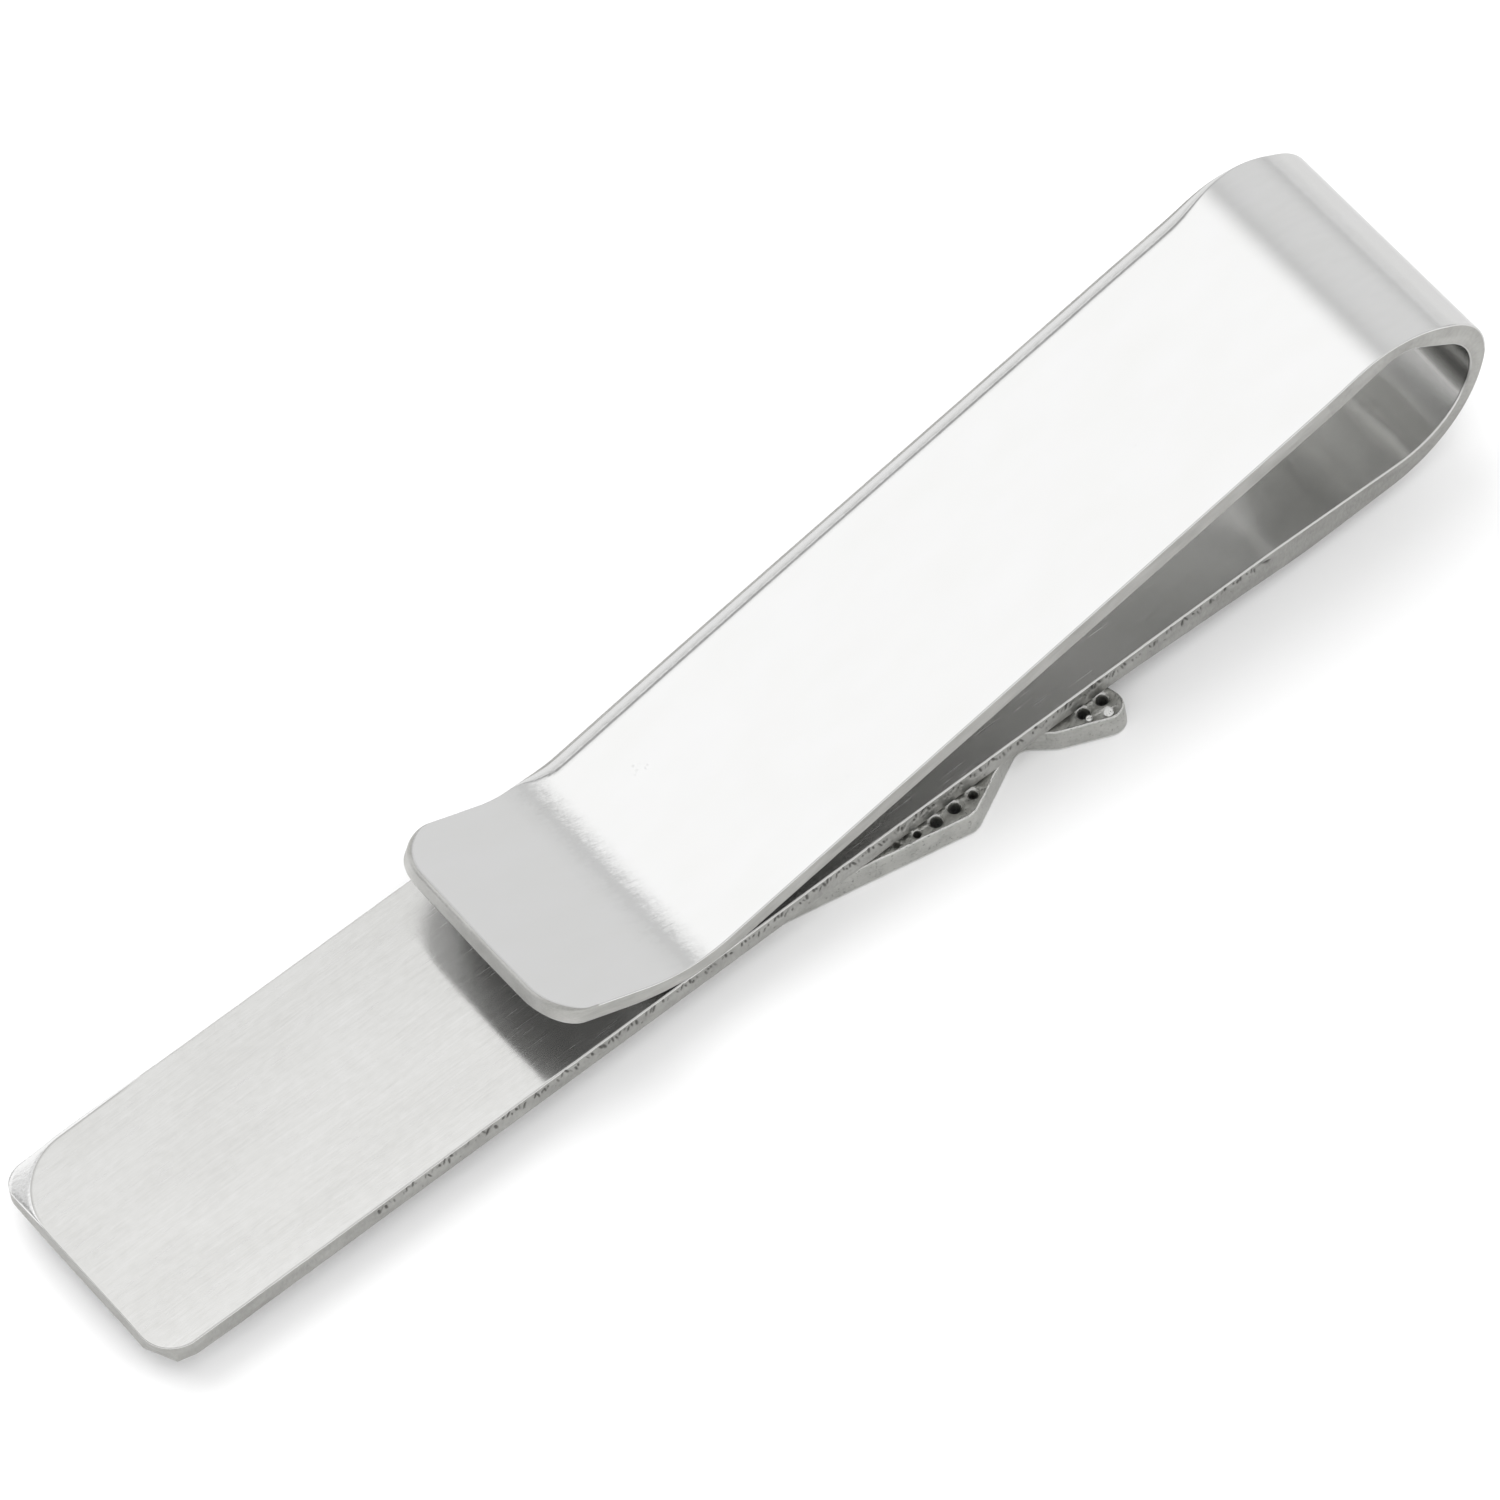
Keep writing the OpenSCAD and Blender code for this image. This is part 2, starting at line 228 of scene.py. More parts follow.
def polished(name, base=0.66, rough=0.10, wav=0.25, marks=(), grit_bump=0.0, fold=None, bend=None, lip_shade_from=None):
    """tumble-polished plating with the faint texture that polishing leaves"""
    M = Mat(name)
    M.set(Metallic=1.0, Specular_Tint=(0.8, 0.8, 0.8, 1))
    v = M.attr("sheet").outputs["Vector"]
    soft = M.noise(M.scaled(v, 0.35, 0.8, 0.8), 1, 2, 0.5)
    hair = M.noise(M.scaled(v, 1.3, 30, 30, (2, 5, 0)), 1, 2, 0.5)
    speck = M.noise(M.scaled(v, 16, 16, 16), 1, 2, 0.6)
    c = M.math("ADD", M.math("MULTIPLY", soft, 0.6), M.math("MULTIPLY", hair, 0.4))
    col = M.ramp(c, [(0.3, (base * 0.985, base * 0.985, base * 0.975)), (0.7, (base * 1.01,) * 3)])
    r = M.math("ADD", M.rng(hair, 0.3, 0.7, rough * 0.85, rough * 1.2), M.math("MULTIPLY", M.rng(speck, 0.6, 0.75, 0, 1), 0.05))
    n = M.bump(soft, wav, 0.00003)
    n = M.bump(hair, 0.2, 0.0000015, n)
    s, y, _ = sepxyz(M, v)
    if grit_bump:
        n = M.bump(M.noise(M.scaled(v, 7, 7, 7, (6, 1, 3)), 1, 3, 0.6), grit_bump, 0.000006, n)
    streak = M.noise(M.scaled(v, 1.1, 4.2, 4.2, (7, 3, 2)), 1, 3, 0.6)
    # painted shade: a dark line along the crease of the dressed facet, broken up by noise
    line = M.attr("painted_pit_and_line_shade").outputs["Fac"]
    rub = M.noise(M.scaled(v, 4, 9, 9, (2, 2, 5)), 1, 3, 0.6)
    col = M.mix(M.math("MULTIPLY", line, M.rng(rub, 0.35, 0.6, 0.45, 0.95)), col, (base * 0.42, base * 0.42, base * 0.405))
    if fold is not None:
        # forming marks across the fold
        near = M.rng(M.math("ABSOLUTE", M.math("SUBTRACT", s, fold)), 0.5, 2.2, 1, 0, True)
        n = M.bump(M.math("MULTIPLY", M.math("SUBTRACT", streak, 0.5), near), 1.0, 0.000023, n)
        r = M.math("ADD", r, M.math("MULTIPLY", near, 0.03))
    if bend is not None:
        # the stretched skin of the bend is satin, from the tongue to the front of the bar
        sa, sb, sc = bend
        skin = M.math("MULTIPLY", M.rng(s, sb, sa, 1, 0, True), M.rng(s, 37.5, 44, 0, 1, True))
        n = M.bump(M.math("MULTIPLY", M.math("SUBTRACT", streak, 0.5), M.rng(s, sb - 0.2, sb - 1.2, 1, 0, True)), 1.0, 0.0000015, n)
        r = M.math("ADD", r, M.math("MULTIPLY", skin, 0.07))
        # painted shade: the lower part of the bend is darker, with faint darker streaks over the rest of the skin
        low = M.math("MULTIPLY", M.rng(s, sc - 0.35, sc + 0.75, 1, 0, True), M.rng(s, 37.5, 44, 0, 1, True))
        col = M.mix(M.math("MULTIPLY", low, 0.34), col, (base * 0.5, base * 0.495, base * 0.48))
        col = M.mix(M.math("MULTIPLY", M.math("SUBTRACT", skin, low), M.rng(streak, 0.40, 0.62, 0.0, 0.03)), col, (base * 0.5,) * 3)
    if lip_shade_from is not None:
        # painted shade on the inner side of the lip
        col = M.mix(M.rng(s, lip_shade_from, lip_shade_from + 1.2, 0.0, 0.5, True), col, (base * 0.55,) * 3)
    # groups of small rub marks: centre, half size and slant
    grit = M.noise(M.scaled(v, 8, 7, 7, (1, 6, 2)), 1, 2, 0.6)
    for ms, my, ws, wy, slant in marks:
        ds = M.math("SUBTRACT", M.math("SUBTRACT", s, ms), M.math("MULTIPLY", M.math("SUBTRACT", y, my), slant))
        dy = M.math("SUBTRACT", y, my)
        q = M.math("ADD", M.math("POWER", M.math("ABSOLUTE", M.math("DIVIDE", ds, ws)), 2.0), M.math("POWER", M.math("ABSOLUTE", M.math("DIVIDE", dy, wy)), 2.0))
        near = M.rng(q, 0.5, 1.0, 1, 0, True)
        mk = M.math("MULTIPLY", near, M.rng(grit, 0.56, 0.64, 0, 1, True))
        col = M.mix(M.math("MULTIPLY", mk, 0.16), col, (base * 0.55,) * 3)
        r = M.math("ADD", r, M.math("MULTIPLY", mk, 0.07))
    M.out(col, "Base Color")
    M.out(r, "Roughness")
    M.out(n, "Normal")
    return M.m


def sheared(name, base=0.55, lengthwise=False, end=None):
    """cut edge of the strip: rough grey with fine marks"""
    M = Mat(name)
    M.set(Metallic=1.0)
    v = M.attr("sheet").outputs["Vector"]
    painted_pit_and_line_shade = M.attr("painted_pit_and_line_shade").outputs["Fac"]
    k = (1.2, 16, 22) if lengthwise else (9, 9, 5)
    fine = M.noise(M.scaled(v, *k), 1, 4, 0.6)
    wide = M.noise(M.scaled(v, 0.7, 0.7, 2.0, (4, 2, 7)), 1, 2, 0.5)
    c = M.math("ADD", M.math("MULTIPLY", fine, 0.55), M.math("MULTIPLY", wide, 0.45))
    col = M.ramp(c, [(0.28, (base * 0.74, base * 0.735, base * 0.70)), (0.5, (base, base * 0.993, base * 0.95)), (0.72, (base * 1.24, base * 1.235, base * 1.19))])
    # the pits are shallow dents in the mesh; their darkness is painted shade
    col = M.mix(M.rng(painted_pit_and_line_shade, 0.06, 0.6, 0, 0.82, True), col, (0.085, 0.084, 0.078))
    if end is not None:
        # painted light: the end face of the lip is lighter
        col = M.mix(M.rng(sepxyz(M, v)[0], end - 0.40, end - 0.12, 0.0, 0.28, True), col, (0.80, 0.80, 0.79))
    M.out(col, "Base Color")
    M.out(M.math("ADD", M.rng(fine, 0.3, 0.7, 0.34, 0.50), M.math("MULTIPLY", painted_pit_and_line_shade, 0.2)), "Roughness")
    M.out(M.bump(fine, 0.8, 0.000024), "Normal")
    return M.m


def cast(name, base, rough, grain=0.5, polish=0.0):
    """cast and plated metal of the ornament, patterns in object space"""
    M = Mat(name)
    M.set(Metallic=1.0)
    tc = M.node("ShaderNodeTexCoord")
    v = M.scaled(tc.outputs["Object"], 1000, 1000, 1000)
    fine = M.noise(M.scaled(v, 7, 7, 7), 1, 4, 0.6)
    wide = M.noise(M.scaled(v, 1.1, 1.1, 1.1, (3, 3, 3)), 1, 2, 0.5)
    pits = M.rng(M.noise(M.scaled(v, 11, 11, 11, (8, 1, 2)), 1, 2, 0.5), 0.30, 0.38, 1, 0, True)
    c = M.math("ADD", M.math("MULTIPLY", fine, 0.5), M.math("MULTIPLY", wide, 0.5))
    warm = 0.955 + 0.04 * polish
    k = 0.74 + 0.12 * polish
    col = M.ramp(c, [(0.3, (base * k, base * k, base * k * warm)), (0.5, (base, base, base * warm)), (0.7, (min(1, base * 1.14), min(1, base * 1.14), min(1, base * 1.14 * warm)))])
    col = M.mix(M.math("MULTIPLY", pits, 0.6 * (1 - polish)), col, (base * 0.35, base * 0.35, base * 0.34))
    M.out(col, "Base Color")
    M.out(M.rng(fine, 0.3, 0.7, rough * 0.85, rough * 1.2), "Roughness")
    h = M.math("SUBTRACT", M.math("MULTIPLY", fine, 0.6), M.math("MULTIPLY", pits, 0.8))
    M.out(M.bump(h, grain, 0.00002), "Normal")
    return M.m


def crystal_mat():
    M = Mat("clear_crystal")
    M.set(Metallic=0.0, Transmission_Weight=1.0, IOR=1.62, Specular_IOR_Level=0.6)
    tc = M.node("ShaderNodeTexCoord")
    v = M.scaled(tc.outputs["Object"], 1000, 1000, 1000)
    f = M.noise(M.scaled(v, 3, 3, 3), 1, 2, 0.5)
    M.out(M.ramp(f, [(0.3, (0.93, 0.965, 1.0)), (0.7, (0.985, 0.99, 1.0))]), "Base Color")
    M.out(M.rng(f, 0.3, 0.7, 0.005, 0.03), "Roughness")
    return M.m


def solder_mat():
    M = Mat("dull_solder")
    M.set(Metallic=1.0)
    tc = M.node("ShaderNodeTexCoord")
    v = M.scaled(tc.outputs["Object"], 1000, 1000, 1000)
    f = M.noise(M.scaled(v, 2.5, 2.5, 2.5), 1, 4, 0.6)
    M.out(M.ramp(f, [(0.3, (0.36, 0.36, 0.35)), (0.7, (0.58, 0.58, 0.57))]), "Base Color")
    M.out(M.rng(f, 0.3, 0.7, 0.4, 0.6), "Roughness")
    M.out(M.bump(f, 0.6, 0.00004), "Normal")
    return M.m


# ------------------------------------------------------------------ strip: side profile
R2D = math.radians
LIP, TON = R2D(28.5), R2D(11.3)
FOLD_BACK, FOLD_R, GAP, TT, BT, HEEL, LIP_L = 34.99, 7.0, 0.05, 0.72, 0.97, 0.55, 3.55
SW = 1 / math.cos(R2D(4))


def P(*a):
    return np.array(a, float)


f_low = P(-FOLD_BACK, GAP + FOLD_R * (SW - math.cos((LIP - TON) / 2) / math.cos((LIP + TON) / 2)))
fold_c = f_low + P(math.sin((LIP - TON) / 2), math.cos((LIP - TON) / 2)) * FOLD_R / math.cos((LIP + TON) / 2)
f_top = fold_c + (f_low - fold_c) * (FOLD_R - TT) / FOLD_R
lip_dir = P(-math.cos(LIP), math.sin(LIP))
lip_run = LIP_L + FOLD_R * math.tan((LIP + TON) / 2)
lip_low = f_low + lip_dir * lip_run
lip_top = lip_low + P(math.sin(LIP), math.cos(LIP)) * TT
i1 = P(-3.35, f_low[1] + math.tan(TON) * (FOLD_BACK - 3.35))
i2 = P(-0.07, i1[1] - 2.85)
i3 = P(-2.19, -0.36)
i4 = P(-9.70, 0)
o1 = i1 + P(0.28, TT + 0.15)
o2 = P(0.45, i1[1] - 2.29)
o3 = P(-1.18, -BT - 0.29)
o4 = P(-8.40, -BT - HEEL)
o5 = P(-16.6, -BT)


def corner(a, b, c, r):
    u, v = (a - b) / np.linalg.norm(a - b), (c - b) / np.linalg.norm(c - b)
    h = math.acos(max(-1, min(1, float(u @ v)))) / 2
    centre = b + (u + v) / np.linalg.norm(u + v) * r / math.sin(h)
    return centre, b + u * r / math.tan(h), b + v * r / math.tan(h)


apex_c = corner(o1, o2, o3, 2.93)[0]
DX = -(apex_c[0] + 2.93 * SW)
SH = P(DX, 0)


def rounded(pts, radii, step=0.05, arc=1.5):
    """open path with rounded corners: arrays of s, x, z and tangent angle"""
    out = []  # (x, z, angle)

    def line(a, b):
        ln = np.linalg.norm(b - a)
        if ln < 1e-9:
            return
        ang = math.atan2(b[1] - a[1], b[0] - a[0])
        n = max(1, int(math.ceil(ln / step)))
        for k in range(n + 1):
            q = a + (b - a) * k / n
            out.append((q[0], q[1], ang))

    cur = pts[0]
    for i in range(1, len(pts) - 1):
        if radii[i] <= 0:
            line(cur, pts[i])
            cur = pts[i]
            continue
        c, p0, p1 = corner(pts[i - 1], pts[i], pts[i + 1], radii[i])
        line(cur, p0)
        a0 = math.atan2(*(p0 - c)[::-1])
        a1 = math.atan2(*(p1 - c)[::-1])
        da = (a1 - a0 + math.pi) % (2 * math.pi) - math.pi
        n = max(2, int(math.ceil(abs(da) / R2D(arc))))
        for k in range(1, n + 1):
            a = a0 + da * k / n
            q = c + radii[i] * P(math.cos(a), math.sin(a))
            out.append((q[0], q[1], a + math.copysign(math.pi / 2, da)))
        cur = p1
    line(cur, pts[-1])
    o = np.array(out)
    keep = np.concatenate([[True], np.linalg.norm(np.diff(o[:, :2], axis=0), axis=1) > 1e-7])
    o = o[keep]
    o[:, 2] = np.unwrap(o[:, 2])
    s = np.concatenate([[0], np.cumsum(np.linalg.norm(np.diff(o[:, :2], axis=0), axis=1))])
    return s, o[:, 0], o[:, 1], o[:, 2]


IN = rounded([P(-57, 0), i4 + SH, i3 + SH, i2 + SH, i1 + SH, f_low + SH, lip_low + SH + lip_dir * 0.09], [0, 12, 3.25, 2.3, 1.6, FOLD_R, 0])
# the skin of the bend as it came out of forming, a little flatter at the crown than drawn; the fold is crisper on top
o1v, o2v = o1 + P(-0.30, 0.03), o2 + P(0.06, 0.40)
OUT = rounded([P(-57, -BT), o5 + SH, o4 + SH, o3 + SH, o2v + SH, o1v + SH, f_top + SH, lip_top + SH + lip_dir * 0.3], [0, 30, 14, 4.69, 3.0, 4.8, 5.2, 0])
S_END = IN[0][-1]
S_TIP = S_END


def thicknesses():
    """distance from each inner point along its normal to the outer path"""
    ox, oz = OUT[1], OUT[2]
    ax, az, bx, bz = ox[:-1], oz[:-1], ox[1:], oz[1:]
    ts = []
    for x, z, a in zip(IN[1], IN[2], IN[3]):
        nx, nz = math.sin(a), -math.cos(a)
        ex, ez = bx - ax, bz - az
        den = nx * ez - nz * ex
        with np.errstate(divide="ignore", invalid="ignore"):
            t = ((ax - x) * ez - (az - z) * ex) / den
            u = ((ax - x) * nz - (az - z) * nx) / den
        ok = (np.abs(den) > 1e-12) & (u >= -1e-3) & (u <= 1 + 1e-3) & (t > 0.3) & (t < 3)
        ts.append(t[ok].min() if ok.any() else np.nan)
    ts = np.array(ts)
    bad = np.isnan(ts)
    ts[bad] = np.interp(IN[0][bad], IN[0][~bad], ts[~bad])
    return ts


THICK = thicknesses()


def path(s):
    """x, z, nx, nz, thickness at developed length s"""
    x = np.interp(s, IN[0], IN[1])
    z = np.interp(s, IN[0], IN[2])
    a = np.interp(s, IN[0], IN[3])
    t = np.interp(s, IN[0], THICK)
    return x + XA, z + ZB, np.sin(a), -np.cos(a), t


def s_at_x(x, upper):
    """developed length at distance x from the free end, on the bar or on the tongue"""
    xs = IN[1] + 57
    top = int(np.argmax(xs))
    if upper:
        return float(np.interp(-x, -xs[top:], IN[0][top:]))
    return float(np.interp(x, xs[:top + 1], IN[0][:top + 1]))


def s_at_tongue(x):
    return s_at_x(x, True)


# ------------------------------------------------------------------ looks of each surface
# rub marks on the tongue: developed length is filled in from the distance to the free end
MARKS = [(s_at_tongue(25.6), 2.3, 0.55, 0.30, 0.5), (s_at_tongue(45.0), -1.3, 0.10, 0.38, 0.3), (s_at_tongue(43.7), -1.8, 0.06, 0.10, 0.0),
         (s_at_tongue(27.2), 0.9, 0.08, 0.08, 0.0), (s_at_tongue(30.5), -3.2, 0.07, 0.07, 0.0)]
MAT = {
    "back": brushed_back(),
    "mirror": polished("polished_plating", 0.66, 0.09, 0.2, MARKS, fold=s_at_tongue(22.0)),
    "under": polished("polished_plating_inside", 0.64, 0.15, 0.3, lip_shade_from=s_at_tongue(22.4)),
    "skin": polished("formed_plating_bend", 0.66, 0.09, 0.1, bend=(s_at_tongue(51.4), s_at_tongue(53.6), s_at_tongue(55.0))),
    "outer": polished("polished_plating_front", 0.66, 0.09, 0.2),
    "bevel": polished("worn_corner", 0.62, 0.22, 0.3, grit_bump=1.4),
    # the dressed far corner of the bar, lighter than the other worn corner: painted light
    "crescent_painted_light": polished("dressed_corner_painted_light", 0.77, 0.24, 0.3, grit_bump=2.0),
    "edge_bar": sheared("cut_edge_bar", 0.36),
    "edge_tongue": sheared("cut_edge_tongue", 0.41, True, S_TIP),
    "cast_wall": cast("cast_wall", 0.435, 0.36, 2.0),
    "cast_back": cast("cast_back", 0.62, 0.40, 2.8),
    "cast_front": cast("cast_front_polished", 0.68, 0.13, 0.15, 0.9),
    "seat": cast("drilled_seat", 0.50, 0.42, 0.6),
    "sink": cast("countersunk_rim", 0.62, 0.24, 0.9, 0.4),
    "dimple": cast("polished_dimple", 0.70, 0.22, 1.2, 0.6),
    "crystal": crystal_mat(),
    "solder": solder_mat(),
}

# ------------------------------------------------------------------ marks on the cut edges


def dents(seed, x0, x1, groups):
    r = random.Random(seed)
    out = []
    x = x0
    while x < x1:
        for _ in range(r.choice(groups)):
            out.append((x, r.uniform(0.18, 0.40), r.uniform(0.032, 0.06), r.uniform(0.07, 0.17),
                        r.choice((0.45, 0.6, 0.8, 0.95, 1.0)) * r.uniform(0.85, 1.0), r.uniform(-0.5, 0.5)))
            x += r.uniform(0.11, 0.21)
        x += r.uniform(0.05, 0.34)
    # small flecks near the lower edge
    x = x0
    while x < x1:
        x += r.uniform(0.3, 1.9)
        out.append((x, r.uniform(0.5, 0.74), r.uniform(0.03, 0.05), r.uniform(0.03, 0.06), r.uniform(0.2, 0.6), 0))
    return out


DENTS = {-1: dents(11, 9.0, 46.4, [2, 3, 4, 5, 6]), 1: dents(23, 7.0, 46.0, [1, 2, 3, 4])}


def pit_depth(side, s, tau):
    """0..1 at developed length s and depth tau below the back face"""
    v = np.zeros_like(s)
    for x, c, w, h, k, tilt in DENTS[side]:
        near = np.abs(s - x) < 0.35
        if not near.any():
            continue
        ds, dt = s[near] - x, tau[near] - c
        ds = ds - tilt * dt
        v[near] = np.maximum(v[near], k * np.exp(-(ds / w) ** 2 - (dt / h) ** 4))
    return v


def lattice(v, seed):
    """smooth 1-D value noise"""
    i = np.floor(v).astype(int)
    f = v - i
    f = f * f * (3 - 2 * f)
    r = np.random.RandomState(seed).rand(4096)
    return r[i % 4096] * (1 - f) + r[(i + 1) % 4096] * f - 0.5


def lattice2(u, v, seed):
    iu, iv = np.floor(u).astype(int), np.floor(v).astype(int)
    fu, fv = u - iu, v - iv
    fu, fv = fu * fu * (3 - 2 * fu), fv * fv * (3 - 2 * fv)
    r = np.random.RandomState(seed).rand(256, 256)
    g = lambda a, b: r[a % 256, b % 256]
    return (g(iu, iv) * (1 - fu) * (1 - fv) + g(iu + 1, iv) * fu * (1 - fv)
            + g(iu, iv + 1) * (1 - fu) * fv + g(iu + 1, iv + 1) * fu * fv - 0.5)


# ------------------------------------------------------------------ strip: sheet mesh

IN_R = 0.07     # edge rounding on the gripping side
N_IN, N_OUT = 5, 9
R_END = 2.6     # reach of the free end's corners


S1 = 36.0
S2 = s_at_x(50.4, True)
S_APEX = float(IN[0][int(np.argmax(IN[1]))])


def step01(v):
    v = np.clip(v, 0.0, 1.0)
    return v * v * (3 - 2 * v)


def ease(s, a, b):
    return step01((s - a) / (b - a))


# shallow dressed facet along the far edge of the tongue: (distance from the cut edge, depth below the surface)
FACET = [(0, 0.225), (0.055, 0.192), (0.11, 0.165), (0.17, 0.139), (0.25, 0.104), (0.33, 0.069), (0.41, 0.036), (0.48, 0.017), (0.56, 0.005), (0.66, 0)]
# painted shade: strength of a dark line along the crease of the facet, by ring
F_PAINTED_LINE = {5: 0.22, 6: 0.48, 7: 0.48, 8: 0.22}
F0, F1, F2, F3 = (s_at_tongue(x) for x in (54.2, 50.8, 23.6, 21.6))
F_WIDE = (s_at_tongue(36.0), s_at_tongue(25.0))


def facet_weight(s, side):
    return float(ease(s, F0, F1) * (1 - ease(s, F2, F3))) if side > 0 else 0.0


def outer_edge(s, side):
    """outer long edge from the cut wall to the surface: (distance from the wall, depth below the surface)"""
    r = 0.15 - 0.10 * float(ease(s, S_APEX - 1.5, S_APEX + 1.5)) + 0.13 * float(ease(s, S_TIP - 1.8, S_TIP - 0.6))
    arc = [(r * (1 - math.cos(a)), r * (1 - math.sin(a))) for a in [k / N_OUT * math.pi / 2 for k in range(N_OUT + 1)]]
    w = facet_weight(s, side)
    wide = 1.08 + 0.06 * float(ease(s, *F_WIDE))
    return [(a[0] + (f[0] * wide - a[0]) * w, a[1] + (f[1] * wide - a[1]) * w) for a, f in zip(arc, FACET)]


def ring_profile(t, bd, drop, mixc, rows, edge, lead=0.22):
    """[(d, tau)] from the inner surface over the cut edge to the outer surface"""
    pr = [(bd + lead, 0.0), (bd + 0.03, 0.0)]
    for k in range(N_IN + 1):
        q = k / N_IN
        a = q * math.pi / 2
        pr.append((bd * ((1 - math.sin(a)) * (1 - mixc) + (1 - q) * mixc),
                   drop * ((1 - math.cos(a)) * (1 - mixc) + q * mixc)))
    top, bot = drop, t - edge[0][1]
    for k in range(1, rows):
        pr.append((0.0, top + (bot - top) * k / rows))
    for d, h in edge:
        pr.append((d, t - h))
    pr.append((edge[-1][0] + 0.03, t))
    pr.append((edge[-1][0] + 0.22, t))
    return pr


def corner_bevel(kind, v, q, side):
    """width, depth and weight of the dressed inner edge round the far corner of the free end"""
    f = v / (math.pi / 2) if kind == "arc" else 1.0
    if side < 0:
        return 0.03 + (IN_R - 0.03) * f, 0.03 + 0.03 * f, 0.0
    if kind == "arc":
        w = math.sin(2 * v)
        return 0.03 + 0.12 * f, 0.03 + 0.18 * w ** 1.4 + 0.08 * f, min(1.0, v / 0.35)
    w = float(1 - ease(q, R_END, R_END + 3.6))
    return IN_R + 0.08 * w, 0.06 + 0.05 * w, min(1.0, w * 4)


def corner_point(v, r, R):
    """corner of radius r met by a ray at angle v from the centre of the corner of radius R"""
    c, s_ = max(math.cos(v), 1e-9), max(math.sin(v), 1e-9)
    if R - R * s_ / c >= r:
        t = R / c
    elif R - R * c / s_ >= r:
        t = R / s_
    else:
        m_ = R - r
        t = m_ * (c + s_) + math.sqrt(max(0.0, m_ * m_ * (c + s_) ** 2 - 2 * m_ * m_ + r * r))
    return R - t * c, R - t * s_


def far_shift(s):
    """the cropped strip is a trifle wider on the far side of the tongue and at the far corner"""
    straight = 0.07 * ease(s, S_APEX - 1.5, S_APEX + 1.0) + 0.04 * ease(s, s_at_tongue(52.0), s_at_tongue(47.0)) \
        + 0.09 * ease(s, s_at_tongue(42.0), s_at_tongue(27.0))
    return straight * (1 - ease(s, s_at_tongue(23.4), s_at_tongue(20.6))) + 0.07 * (1 - ease(s, 3.0, 7.5))


def near_shift(s):
    return 0.08 * ease(s, s_at_tongue(54.0), s_at_tongue(50.0)) * (1 - 0.5 * ease(s, s_at_tongue(23.0), s_at_tongue(20.0)))


def end_skew(q, y, tau, t):
    """the free end isn't cut quite square, and its wall leans out a little"""
    a = 0.045 + 0.085 * np.clip((2.5 - y) / 5.0, 0, 1) - 0.06 * np.clip((-3.0 - y) / 1.7, 0, 1)
    lean = 0.045 * (tau / np.maximum(t, 0.1))
    return (a - lean) * (1 - ease(q, 0.0, 4.5))


def lip_skew(q, y):
    """the lip isn't cut quite square either"""
    return 0.10 * np.clip((-0.8 - y) / 3.2, 0, 1) * (1 - ease(q, 0.0, 2.6))


def cap_angles():
    d = [34 * k / 8 for k in range(8)] + [34 + 22 * k / 12 for k in range(12)] + [56 + 34 * k / 8 for k in range(8)]
    return [math.radians(a) for a in d]


